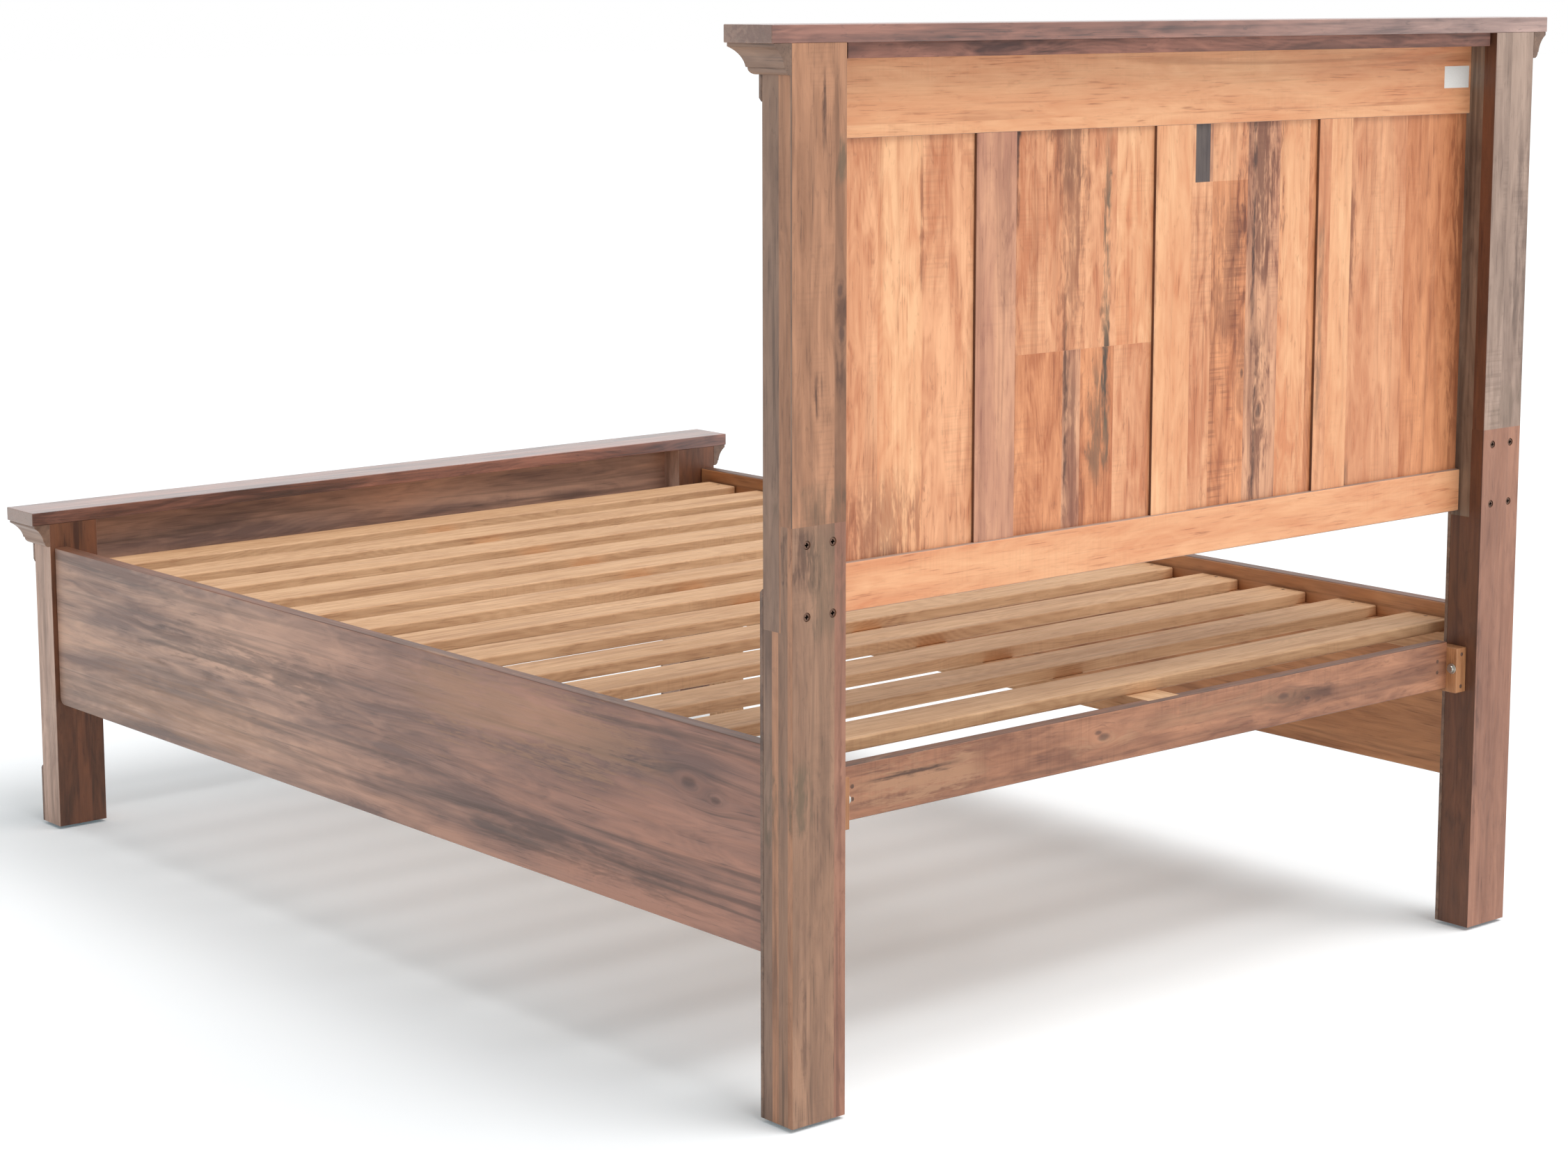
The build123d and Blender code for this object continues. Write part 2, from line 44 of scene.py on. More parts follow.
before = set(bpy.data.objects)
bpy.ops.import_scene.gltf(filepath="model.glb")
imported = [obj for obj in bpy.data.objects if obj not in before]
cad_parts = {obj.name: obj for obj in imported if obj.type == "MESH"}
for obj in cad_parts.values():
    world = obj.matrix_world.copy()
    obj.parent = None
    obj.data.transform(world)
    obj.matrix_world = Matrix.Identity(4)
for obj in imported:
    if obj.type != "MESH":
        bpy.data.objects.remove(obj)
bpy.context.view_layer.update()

MM = 0.001
BODY = "bed_frame"
FOOT_BODY = "levelling_foot"

Node = bpy.types.Node
Socket = bpy.types.NodeSocket
Tree = bpy.types.NodeTree
Source = Node | Socket
Radius = float | Callable[[float], float]


def linear(code: str) -> tuple[float, float, float, float]:
    """Turns an sRGB hex colour into linear RGBA.

    Args:
        code: The colour as "#RRGGBB".

    Returns:
        Linear red, green, blue and an alpha of 1.
    """
    channels = [int(code[i:i + 2], 16) / 255 for i in (1, 3, 5)]
    values = [c / 12.92 if c <= 0.04045 else ((c + 0.055) / 1.055) ** 2.4 for c in channels]
    return (*values, 1.0)


def add_node(
    tree: Tree, kind: str, inputs: dict | None = None, stops: list | None = None,
    **settings: object,
) -> Node:
    """Adds one shader node with its settings and its links.

    Args:
        tree: The node tree that gets the node.
        kind: The node's type name, without "ShaderNode".
        inputs: Input name or number to a constant, or to the node or socket that feeds it. A
            node feeds it from the first of its outputs that is in use.
        stops: A colour ramp's stops as (position, colour). Each colour holds up to the next.
        settings: Properties of the node.

    Returns:
        The new node.
    """
    node = tree.nodes.new(f"ShaderNode{kind}")
    for name, value in settings.items():
        setattr(node, name, value)
    if stops:
        ramp = node.color_ramp
        ramp.interpolation = "CONSTANT"
        while len(ramp.elements) > 1:
            ramp.elements.remove(ramp.elements[-1])
        ramp.elements[0].position = stops[0][0]
        ramp.elements[0].color = stops[0][1]
        for position, colour in stops[1:]:
            ramp.elements.new(position).color = colour
    for name, value in (inputs or {}).items():
        if isinstance(value, Node):
            value = next(output for output in value.outputs if output.enabled)
        if isinstance(value, Socket):
            tree.links.new(value, node.inputs[name])
        else:
            node.inputs[name].default_value = value
    return node


def new_material(name: str) -> tuple[bpy.types.Material, Tree]:
    """Starts a material with an empty node tree.

    Args:
        name: The material's name.

    Returns:
        The material and its tree.
    """
    mat = bpy.data.materials.new(name)
    mat.use_nodes = True
    mat.node_tree.nodes.clear()
    return mat, mat.node_tree


def add_surface(tree: Tree, height: Source, strength: float, deep_mm: float, look: dict) -> None:
    """Ends a material with its relief and its shader.

    Args:
        tree: The material's node tree.
        height: The relief's height, from 0 to 1.
        strength: The relief's strength.
        deep_mm: The relief's depth in millimetres.
        look: The shader's other inputs.
    """
    bump = add_node(
        tree, "Bump", {"Strength": strength, "Distance": deep_mm * MM, "Height": height}
    )
    shader = add_node(tree, "BsdfPrincipled", {**look, "Normal": bump})
    add_node(tree, "OutputMaterial", {"Surface": shader})


def dress(node: str, mat: bpy.types.Material) -> None:
    """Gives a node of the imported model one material."""
    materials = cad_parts[node].data.materials
    materials.clear()
    materials.append(mat)
    log.info("dressed %s", node)


class Axis(Enum):
    """An axis of the bed: across, along towards the head, or up."""

    X = 0
    Y = 1
    Z = 2


class Slot(Enum):
    """Names of three material slots: dark steel, zinc steel and glide. Nothing in this script
    uses them.
    """

    DARK_STEEL = "dark_steel"
    ZINC_STEEL = "zinc_steel"
    GLIDE = "glide"


class Tone(Enum):
    """A stave's colours: its pale wood, its deep wood and the stain in its streaks and pores."""

    # Headboard's panels and rails: a warm stain over pale wood, with odd dark staves.
    HONEY = ("#F8BE8E", "#DA8D60", "#9B5B38")
    TAN = ("#F5B587", "#C87D54", "#8C5032")
    AMBER = ("#EDA372", "#B56940", "#80452A")
    ROSE = ("#E9AE86", "#B87A5C", "#774433")
    DUSTY = ("#E2A782", "#B07660", "#774433")
    PLUM = ("#B27C63", "#774A40", "#5C2E20")
    OLIVE = ("#C89972", "#987051", "#665642")
    SLATE = ("#685A53", "#4A3F3F", "#2E2320")
    # Posts and legs: a thinner brown stain, greyer on some plies.
    FAWN = ("#C68F6C", "#8B5F44", "#4E3426")
    DUSK = ("#AE8468", "#7F5E4A", "#4E3A2C")
    MINK = ("#A4826C", "#725646", "#47342B")
    BARK = ("#98806C", "#604C3E", "#34271F")
    BLUSH = ("#B07C63", "#815644", "#5F3E31")
    # COCOA is also painted shade on the muntins' sides and on the rails' top and bottom faces,
    # and partly on the right head post's inner face.
    COCOA = ("#784A31", "#4F3120", "#3A1C12")
    DRIFT = ("#BA9E8D", "#856D60", "#5F4A3E")
    ASH = ("#D3B09C", "#A78776", "#7C6457")
    # Side rails, footboard and cross rails.
    CLAY = ("#D2A88F", "#85695E", "#5E4C42")
    MAUVE = ("#B4806A", "#78574D", "#4A3832")
    RUSSET = ("#B8805F", "#83543D", "#563426")
    TEAK = ("#CC9264", "#9C6740", "#6B4226")
    TAWNY = ("#D0A27E", "#A67A58", "#B48766")
    # Caps: the darkest stain, rubbed paler towards one end.
    CAPPED = ("#A06A58", "#4C2A23", "#301C18")
    FROST = ("#C19E92", "#84665F", "#5E4A46")
    # Slats, ledgers, centre beam and leg: planed wood without stain.
    PLAIN = ("#E1B78D", "#B78A63", "#8E6141")


@dataclass(frozen=True)
class Stave:
    """One strip of a glued board.

    Attributes:
        tone: Its colours.
        width: Width in millimetres. The last strip fills what is left.
        streaks: How strongly it is streaked, from 0 to 1.
        chatter: How strongly the saw marked it, from 0 to 1.
        cut: Picks the piece of wood that it was cut from, from 0 to 1.
    """

    tone: Tone
    width: float = 100.0
    streaks: float = 0.35
    chatter: float = 0.12
    cut: float = 0.0


@dataclass(frozen=True)
class Knot:
    """A knot.

    Attributes:
        across: Its place on the axis that the staves are laid along, in millimetres.
        along: Its place along the grain, in millimetres.
        radius: Its radius in millimetres.
    """

    across: float
    along: float
    radius: float


@dataclass(frozen=True)
class Streak:
    """A stain that follows the grain, with ragged edges. A few are painted shade: shadow lines
    along joints and beside posts.

    Attributes:
        across: Its middle on the axis that the staves are laid along, in millimetres.
        width: Its width in millimetres.
        low: Its lower end along the grain, in millimetres.
        high: Its upper end along the grain, in millimetres.
        tone: The tone whose stain it has.
        strength: How strong it is, from 0 to 1.
        wander: How far its middle strays, in millimetres.
    """

    across: float
    width: float
    low: float
    high: float
    tone: Tone = Tone.PLUM
    strength: float = 0.8
    wander: float = 22.0


@dataclass(frozen=True)
class Grain:
    """One scale of the wood's pattern: noise that is drawn out along the grain.

    Attributes:
        across_mm: Its size across the grain.
        along_mm: Its size along the grain.
        detail: How many finer layers it holds.
        distortion: How much it wanders.
    """

    across_mm: float
    along_mm: float
    detail: float
    distortion: float


CLOUDS = Grain(70.0, 420.0, 3.0, 0.5)
BLOTCHES = Grain(24.0, 105.0, 4.0, 1.3)
SWIRLS = Grain(75.0, 560.0, 1.0, 0.3)
FIGURE = Grain(7.0, 210.0, 5.0, 0.9)
FIBRE = Grain(2.4, 70.0, 2.0, 0.0)       # real pores are under 0.3 mm wide, too fine to show
STREAKS = Grain(22.0, 620.0, 5.0, 0.9)
CHATTER = Grain(110.0, 4.6, 1.0, 0.2)
PATCHES = Grain(80.0, 240.0, 3.0, 0.6)
FLECKS = Grain(7.0, 26.0, 3.0, 1.1)
GRAINS = (CLOUDS, BLOTCHES, SWIRLS, FIGURE, FIBRE, STREAKS, CHATTER, PATCHES, FLECKS)


@dataclass(frozen=True)
class Mark:
    """One kind of mark in the wood, which shows where a noise runs high.

    Attributes:
        grain: The noise.
        starts: The noise's value where the mark starts to show.
        full: The noise's value where it shows fully.
        most: Its strength where it shows fully.
        least: Its strength where the noise runs low.
        fade: How it comes in between them.
    """

    grain: Grain
    starts: float
    full: float
    most: float = 1.0
    least: float = 0.0
    fade: str = "LINEAR"


STREAKED = Mark(STREAKS, 0.52, 0.68, fade="SMOOTHSTEP")
SAW_LINES = Mark(CHATTER, 0.46, 0.7, 0.6)
SAWN_PATCHES = Mark(PATCHES, 0.5, 0.62, fade="SMOOTHSTEP")
PORES = Mark(FIBRE, 0.58, 0.68, 0.55)
OPEN_GRAIN = Mark(BLOTCHES, 0.48, 0.64, least=0.15)
TORN_GRAIN = Mark(FLECKS, 0.6, 0.72)
MARKS = (STREAKED, SAW_LINES, SAWN_PATCHES, PORES, OPEN_GRAIN, TORN_GRAIN)


@dataclass(frozen=True)
class WoodFinish:
    """Sawn hardwood, wiped with stain and sealed with a satin lacquer.

    Stain lies darker in the open pores, so the fibres show as fine dark dashes, and the thin
    lacquer gives a soft sheen that the raised grain breaks up.

    Attributes:
        clouds: Contrast of the broad changes of colour.
        blotches: Contrast of the patches that took more stain.
        figure: Contrast of the fine lengthwise lines.
        fibre: Contrast of the fibres.
        growth: Contrast of the growth rings, which show as long loops on a sawn face.
        flecks: Strength of the short dark marks that the stain leaves in torn grain.
        rings: How closely the growth rings lie.
        stretch: How much longer the pattern runs along the grain than in short boards.
        roughness: Middle roughness of the surface.
        coat: Weight of the lacquer.
        relief_mm: Depth of the raised grain.
        end_grain: How much darker the ends of the board are, which soak up more stain.
    """

    clouds: float = 2.0
    blotches: float = 1.75
    figure: float = 0.45
    fibre: float = 0.2
    growth: float = 0.07
    flecks: float = 0.28
    rings: float = 30.0
    stretch: float = 1.0
    roughness: float = 0.5
    coat: float = 0.12
    relief_mm: float = 0.5
    end_grain: float = 0.35


# Panels: blotchy stain, which gives each stave its own broad light and dark.
SATIN = WoodFinish()
# Calmer boards, where the stain took evenly.
CALM = WoodFinish(1.6, 1.1, 0.28, 0.12, 0.04, 0.2)
# Rails in clear wood, which look almost plain from afar.
PLAIN_SAWN = WoodFinish(1.5, 0.8, 0.22, 0.1, 0.03, 0.12)
# Long stained boards: broad cloudy light and dark that runs on along the board.
CLOUDY = WoodFinish(2.9, 1.2, 0.22, 0.08, 0.05, 0.12, stretch=1.4, roughness=0.46, coat=0.15)
# Caps: a full lacquer coat, whose gloss shows at a low angle.
POLISHED = WoodFinish(
    2.4, 1.8, 0.6, 0.2, 0.06, 0.5, stretch=1.6, roughness=0.3, coat=1.0, end_grain=0.1
)
# Planed wood without lacquer: dull, with the fibres standing up.
RAW = WoodFinish(1.0, 0.7, 0.8, 0.4, 0.1, 0.2, roughness=0.62, coat=0.0)

CUT_SHIFT_MM = (260.0, 2600.0)    # how far apart two staves lie in the wood, deep and along
FACE_ON = 0.7                     # a face looks along an axis where its normal is over this
COAT_ROUGHNESS = 0.35
GLOSS_RANGE = (0.07, 0.1)         # how much smoother and rougher than its middle the wood gets
FIBRE_RELIEF = 0.6                # how much the figure stands up beside the fibres
SEALED_END = 0.8                  # how fully a sealed end hides the wood's own colour
CAP_END = "#8F6F5C"

KNOT_STRETCH = 0.45               # a knot's bend in the grain is this much tighter along it
KNOT_CALM = 1.2                   # how far off the bend stays gentle, in squared radii
KNOT_PULL = 3.2                   # how far the grain is pulled round a knot
KNOT_HEART = (1.1, 0.25)          # where a knot's dark heart fades out and is full, in radii
KNOT_DARK = 0.65
KNOT_COLOUR = "#4A3028"

# How far each noise frays a stain's edge, as a share of the stain's width.
STAIN_FRAY = ((FIGURE, 1.2), (BLOTCHES, 1.8), (FLECKS, 1.2))
STAIN_FIBRE_FRAY = (0.6, 5.0)     # the same for the fibres, and millimetres added to it
STAIN_START = (-1.2, 3.5)         # share of the width and millimetres that the fray starts at
STAIN_SOFT = (0.45, 3.0)          # share of the width and millimetres that its edge fades over
STAIN_ENDS = (0.8, 0.5)           # how far its ends stray and fade, as shares of half its length


@dataclass(frozen=True)
class Coat:
    """The colours and facts of a set of staves at the shaded point."""

    pale: Source
    deep: Source
    stain: Source
    facts: Source


@dataclass(frozen=True)
class Spot:
    """The shaded point of a board.

    Attributes:
        tree: The material's node tree.
        across: Its place on the axis that the staves are laid along, in millimetres.
        thick: Its place on the third axis.
        along: Its place along the grain.
        looks: How far its face looks along each axis of the bed.
        facing: The same without the sign.
    """

    tree: Tree
    across: Source
    thick: Source
    along: Source
    looks: bpy.types.bpy_prop_collection
    facing: bpy.types.bpy_prop_collection


@dataclass
class Board:
    """The wood of one board, and how its staves lie on the board's node.

    Attributes:
        node: The board's node, which gives its size and place.
        grain: The axis that the grain runs along.
        across: The axis that the staves are laid along, from its high end.
        staves: The staves.
        beyond: The staves above a finger joint, if there is one.
        joint: The finger joint's place along the grain, in millimetres.
        melt: How far the change at the joint is spread, in millimetres.
        edges: The staves seen on the faces that look along the across axis, from the high
            end of the third axis. Without them those faces go on with the nearest stave.
        low_face: The staves seen on the face that looks towards the low end of the third
            axis, such as the front of a post. Without them it is like the face behind it.
        knots: The knots.
        streaks: The stains, of which a few are painted shade.
        finish: How the wood's surface was made.
        sealed_end: The colour of the board's ends, if they were sealed before staining and
            look flatter and greyer than its faces.
    """

    node: str
    grain: Axis
    across: Axis
    staves: tuple[Stave, ...]
    beyond: tuple[Stave, ...] = ()
    joint: float = 0.0
    melt: float = 0.6
    edges: tuple[Stave, ...] = ()
    low_face: tuple[Stave, ...] = ()
    knots: tuple[Knot, ...] = ()
    streaks: tuple[Streak, ...] = ()
    finish: WoodFinish = SATIN
    sealed_end: str = ""

    def third_axis(self) -> Axis:
        """Gives the axis that is neither the grain's nor the staves'."""
        return Axis(3 - self.across.value - self.grain.value)

    def find_spot(self, tree: Tree) -> Spot:
        """Finds the shaded point's place on the board and the way that its face looks.

        Args:
            tree: The material's node tree.

        Returns:
            The spot.
        """
        place = add_node(tree, "TexCoord").outputs["Object"]
        in_mm = add_node(tree, "VectorMath", {0: place, "Scale": 1 / MM}, operation="SCALE")
        places = add_node(tree, "SeparateXYZ", {0: in_mm}).outputs
        axes = (self.across, self.third_axis(), self.grain)
        normal = add_node(tree, "NewGeometry").outputs["True Normal"]
        faces = add_node(tree, "VectorMath", {0: normal}, operation="ABSOLUTE")
        looks, facing = (add_node(tree, "SeparateXYZ", {0: n}).outputs for n in (normal, faces))
        return Spot(tree, *(places[axis.value] for axis in axes), looks, facing)

    def lay(self, spot: Spot, place: Source, axis: Axis, staves: tuple[Stave, ...]) -> Coat:
        """Lays staves side by side on the board.

        Args:
            spot: The shaded point.
            place: Its place on the axis, in millimetres.
            axis: The axis that they are laid along.
            staves: The staves.

        Returns:
            The coat.
        """
        low, high = (corner[axis.value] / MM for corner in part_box(self.node))
        last = 0.999
        starts = [0.0]
        for stave in staves[:-1]:
            starts.append(min(starts[-1] + stave.width / (high - low), last))
        share = add_node(
            spot.tree, "MapRange", {"Value": place, "From Min": high, "From Max": low}
        )
        values = [[linear(s.tone.value[i]) for s in staves] for i in range(3)]
        values.append([(s.cut, s.streaks, s.chatter, 1) for s in staves])
        return Coat(*(
            add_node(spot.tree, "ValToRGB", {0: share}, stops=list(zip(starts, colours)))
            for colours in values
        ))

    def mix_coats(self, tree: Tree, mask: Source, first: Coat, second: Coat) -> Coat:
        """Shows one set of staves where a mask is 0 and another where it is 1.

        Args:
            tree: The material's node tree.
            mask: The mask.
            first: The staves where the mask is 0.
            second: The staves where the mask is 1.

        Returns:
            The mixed coat.
        """
        pairs = ((getattr(first, name), getattr(second, name))
                 for name in ("pale", "deep", "stain", "facts"))
        return Coat(*(
            add_node(tree, "Mix", {0: mask, 6: a, 7: b}, data_type="RGBA") for a, b in pairs
        ))

    def lay_all(self, spot: Spot) -> Coat:
        """Lays the staves of every face and of both sides of a finger joint.

        Args:
            spot: The shaded point.

        Returns:
            The coat.
        """
        tree, third = spot.tree, self.third_axis()
        coat = self.lay(spot, spot.across, self.across, self.staves)
        if self.beyond:
            above = add_node(
                tree, "MapRange",
                {"Value": spot.along, "From Min": self.joint - self.melt / 2,
                 "From Max": self.joint + self.melt / 2}, interpolation_type="SMOOTHSTEP",
            )
            upper = self.lay(spot, spot.across, self.across, self.beyond)
            coat = self.mix_coats(tree, above, coat, upper)
        if self.edges:
            on_edge = add_node(
                tree, "Math", {0: spot.facing[self.across.value], 1: FACE_ON},
                operation="GREATER_THAN",
            )
            edge = self.lay(spot, spot.thick, third, self.edges)
            coat = self.mix_coats(tree, on_edge, coat, edge)
        if self.low_face:
            on_low = add_node(
                tree, "Math", {0: spot.looks[third.value], 1: -FACE_ON}, operation="LESS_THAN"
            )
            low = self.lay(spot, spot.across, self.across, self.low_face)
            coat = self.mix_coats(tree, on_low, coat, low)
        return coat

    def bend_round_knots(self, spot: Spot) -> tuple[Source, Source | None]:
        """Bends the grain round the knots and marks their dark hearts.

        Args:
            spot: The shaded point.

        Returns:
            The bent place across the grain, and the knots' mask if there are any.
        """
        tree, bent, mask = spot.tree, spot.across, None
        for knot in self.knots:
            size = knot.radius ** 2
            aside = add_node(
                tree, "Math", {0: spot.across, 1: knot.across}, operation="SUBTRACT"
            )
            ahead = add_node(
                tree, "Math", {0: spot.along, 1: KNOT_STRETCH, 2: -knot.along * KNOT_STRETCH},
                operation="MULTIPLY_ADD",
            )
            away = add_node(tree, "CombineXYZ", {0: aside, 1: ahead})
            squared = add_node(
                tree, "VectorMath", {0: away, 1: away}, operation="DOT_PRODUCT"
            ).outputs["Value"]
            spread = add_node(tree, "Math", {0: squared, 1: KNOT_CALM * size}, operation="ADD")
            pull = add_node(
                tree, "Math", {0: -KNOT_PULL * size, 1: spread}, operation="DIVIDE"
            )
            bent = add_node(
                tree, "Math", {0: aside, 1: pull, 2: bent}, operation="MULTIPLY_ADD"
            )
            fades, full = ((radii * knot.radius) ** 2 for radii in KNOT_HEART)
            heart = add_node(
                tree, "MapRange",
                {"Value": squared, "From Min": fades, "From Max": full, "To Max": KNOT_DARK},
                interpolation_type="SMOOTHSTEP",
            )
            mask = heart if mask is None else add_node(
                tree, "Math", {0: mask, 1: heart}, operation="MAXIMUM"
            )
        return bent, mask

    def grow(self, spot: Spot, bent: Source, cut: Source) -> dict[Grain, Source]:
        """Lays the noise of every scale through the wood.

        Args:
            spot: The shaded point.
            bent: Its place across the grain, bent round the knots.
            cut: The piece of wood that its stave was cut from, from 0 to 1.

        Returns:
            The noise at each scale.
        """
        tree, layers = spot.tree, {}
        side, run = (
            add_node(tree, "Math", {0: cut, 1: shift, 2: way}, operation="MULTIPLY_ADD")
            for shift, way in zip(CUT_SHIFT_MM, (spot.thick, spot.along))
        )
        point = add_node(tree, "CombineXYZ", {0: bent, 1: side, 2: run})
        for grain in GRAINS:
            drawn_out = grain.along_mm > grain.across_mm
            length = grain.along_mm * (self.finish.stretch if drawn_out else 1)
            scales = (1 / grain.across_mm, 1 / grain.across_mm, 1 / length)
            scaled = add_node(tree, "VectorMath", {0: point, 1: scales}, operation="MULTIPLY")
            layers[grain] = add_node(
                tree, "TexNoise",
                {"Vector": scaled, "Scale": 1.0, "Detail": grain.detail,
                 "Distortion": grain.distortion},
            )
        return layers

    def colour(
        self, spot: Spot, coat: Coat, facts: bpy.types.bpy_prop_collection,
        layers: dict[Grain, Source],
    ) -> Source:
        """Colours the wood: light and dark growth, then the stain in its marks and ends.

        Args:
            spot: The shaded point.
            coat: The coat there.
            facts: Its stave's cut, streaks and chatter.
            layers: The noise at each scale.

        Returns:
            The colour.
        """
        tree, look = spot.tree, self.finish
        turns = add_node(
            tree, "Math", {0: layers[SWIRLS], 1: look.rings * math.tau, 2: layers[FIGURE]},
            operation="MULTIPLY_ADD",
        )
        rings = add_node(tree, "Math", {0: turns}, operation="SINE")
        weights = (
            (layers[CLOUDS], look.clouds), (layers[BLOTCHES], look.blotches),
            (layers[FIGURE], look.figure), (layers[FIBRE], look.fibre),
        )
        depth = 0.5 * (1 - sum(weight for _, weight in weights))
        for layer, weight in (*weights, (rings, look.growth)):
            depth = add_node(
                tree, "Math", {0: layer, 1: weight, 2: depth}, operation="MULTIPLY_ADD"
            )
        wood = add_node(tree, "Mix", {0: depth, 6: coat.pale, 7: coat.deep}, data_type="RGBA")

        masks = {
            mark: add_node(
                tree, "MapRange",
                {"Value": layers[mark.grain], "From Min": mark.starts, "From Max": mark.full,
                 "To Min": mark.least, "To Max": mark.most}, interpolation_type=mark.fade,
            )
            for mark in MARKS
        }
        sawn = add_node(
            tree, "Math", {0: masks[SAW_LINES], 1: masks[SAWN_PATCHES]}, operation="MULTIPLY"
        )
        end = spot.facing[self.grain.value]
        for amount, share in (
            (masks[STREAKED], facts[1]), (sawn, facts[2]), (masks[PORES], masks[OPEN_GRAIN]),
            (masks[TORN_GRAIN], look.flecks), (end, look.end_grain),
        ):
            weight = add_node(tree, "Math", {0: amount, 1: share}, operation="MULTIPLY")
            wood = add_node(
                tree, "Mix", {0: weight, 6: wood, 7: coat.stain}, data_type="RGBA"
            )
        if self.sealed_end:
            sealed = add_node(tree, "Math", {0: end, 1: SEALED_END}, operation="MULTIPLY")
            wood = add_node(
                tree, "Mix", {0: sealed, 6: wood, 7: linear(self.sealed_end)},
                data_type="RGBA",
            )
        return wood

    def stain(self, spot: Spot, wood: Source, layers: dict[Grain, Source]) -> Source:
        """Lays the board's streaks over its colour.

        Args:
            spot: The shaded point.
            wood: The colour so far.
            layers: The noise at each scale.

        Returns:
            The colour with the streaks.
        """
        tree = spot.tree
        for streak in self.streaks:
            width = streak.width
            middle, half = (streak.low + streak.high) / 2, (streak.high - streak.low) / 2
            stray, fade = (share * half for share in STAIN_ENDS)
            aside, ahead = (
                add_node(tree, "Math", {0: noise, 1: reach, 2: shift}, operation="MULTIPLY_ADD")
                for noise, reach, shift in (
                    (layers[STREAKS], 2 * streak.wander, -streak.across - streak.wander),
                    (layers[BLOTCHES], stray, -middle - stray / 2),
                )
            )
            aside, ahead = (
                add_node(tree, "Math", {0: away, 1: place}, operation="ADD")
                for away, place in ((aside, spot.across), (ahead, spot.along))
            )
            aside, ahead = (
                add_node(tree, "Math", {0: away}, operation="ABSOLUTE") for away in (aside, ahead)
            )
            ragged = add_node(
                tree, "Math",
                {0: layers[FIBRE], 1: STAIN_FIBRE_FRAY[0] * width + STAIN_FIBRE_FRAY[1],
                 2: aside}, operation="MULTIPLY_ADD",
            )
            reach = STAIN_START[0] * width + STAIN_START[1]
            for grain, share in STAIN_FRAY:
                reach = add_node(
                    tree, "Math", {0: layers[grain], 1: share * width, 2: reach},
                    operation="MULTIPLY_ADD",
                )
            inside = add_node(tree, "Math", {0: reach, 1: ragged}, operation="SUBTRACT")
            near = add_node(
                tree, "MapRange",
                {"Value": inside, "From Max": STAIN_SOFT[0] * width + STAIN_SOFT[1]},
            )
            within = add_node(
                tree, "MapRange",
                {"Value": ahead, "From Min": half, "From Max": fade,
                 "To Max": streak.strength}, interpolation_type="SMOOTHSTEP",
            )
            mask = add_node(tree, "Math", {0: near, 1: within}, operation="MULTIPLY")
            wood = add_node(
                tree, "Mix", {0: mask, 6: wood, 7: linear(streak.tone.value[2])},
                data_type="RGBA",
            )
        return wood

    def material(self) -> bpy.types.Material:
        """Builds the board's material.

        Returns:
            The material.
        """
        mat, tree = new_material(f"stained_hardwood_{self.node}")
        look = self.finish
        spot = self.find_spot(tree)
        coat = self.lay_all(spot)
        facts = add_node(tree, "SeparateColor", {0: coat.facts}).outputs
        bent, heart = self.bend_round_knots(spot)
        layers = self.grow(spot, bent, facts[0])
        wood = self.stain(spot, self.colour(spot, coat, facts, layers), layers)
        if heart is not None:
            wood = add_node(
                tree, "Mix", {0: heart, 6: wood, 7: linear(KNOT_COLOUR)}, data_type="RGBA"
            )
        rough = add_node(
            tree, "MapRange",
            {"Value": layers[FIGURE], "From Min": 0.3, "From Max": 0.7,
             "To Min": look.roughness - GLOSS_RANGE[0],
             "To Max": look.roughness + GLOSS_RANGE[1]},
        )
        relief = add_node(
            tree, "Math", {0: layers[FIGURE], 1: FIBRE_RELIEF, 2: layers[FIBRE]},
            operation="MULTIPLY_ADD",
        )
        add_surface(tree, relief, 0.5, look.relief_mm, {
            "Base Color": wood, "Roughness": rough, "Coat Weight": look.coat,
            "Coat Roughness": COAT_ROUGHNESS,
        })
        return mat


@dataclass(frozen=True)
class MadeFinish:
    """A made surface: patches of a second colour under a fine texture.

    Attributes:
        name: The finish's name.
        colour: Its colour.
        patch: The colour of the patches.
        patch_mm: Size of the patches.
        texture_mm: Size of the texture.
        patch_range: The noise's values where a patch starts and is full.
        detail: How many finer layers the noises hold.
        metallic: How metallic it is.
        roughness: Its roughness where the texture is low and where it is high.
        relief: The texture's strength.
        relief_mm: The texture's depth.
    """

    name: str
    colour: str
    patch: str
    patch_mm: float
    texture_mm: float
    patch_range: tuple[float, float] = (0.0, 1.0)
    detail: float = 4.0
    metallic: float = 0.0
    roughness: tuple[float, float] = (0.22, 0.48)
    relief: float = 0.3
    relief_mm: float = 0.1

    def material(self) -> bpy.types.Material:
        """Builds the finish's material.

        Returns:
            The material.
        """
        mat, tree = new_material(self.name)
        place = add_node(tree, "TexCoord").outputs["Object"]
        texture, clouds = (
            add_node(
                tree, "TexNoise",
                {"Vector": place, "Scale": 1 / (size * MM), "Detail": self.detail},
            )
            for size in (self.texture_mm, self.patch_mm)
        )
        starts, full = self.patch_range
        patches = add_node(
            tree, "MapRange", {"Value": clouds, "From Min": starts, "From Max": full}
        )
        colour = add_node(
            tree, "Mix", {0: patches, 6: linear(self.colour), 7: linear(self.patch)},
            data_type="RGBA",
        )
        smooth, coarse = self.roughness
        rough = add_node(
            tree, "MapRange", {"Value": texture, "To Min": smooth, "To Max": coarse}
        )
        add_surface(tree, texture, self.relief, self.relief_mm, {
            "Base Color": colour, "Roughness": rough, "Metallic": self.metallic,
        })
        return mat


# Zinc plating: bright, slightly clouded, with fine tumbling marks that spread its highlights.
# The marks are drawn coarser than real ones of about 0.1 mm, which would not show.
ZINC = MadeFinish("zinc_plated_steel", "#D2D0CA", "#A9A69E", 9.0, 0.6, metallic=1.0)
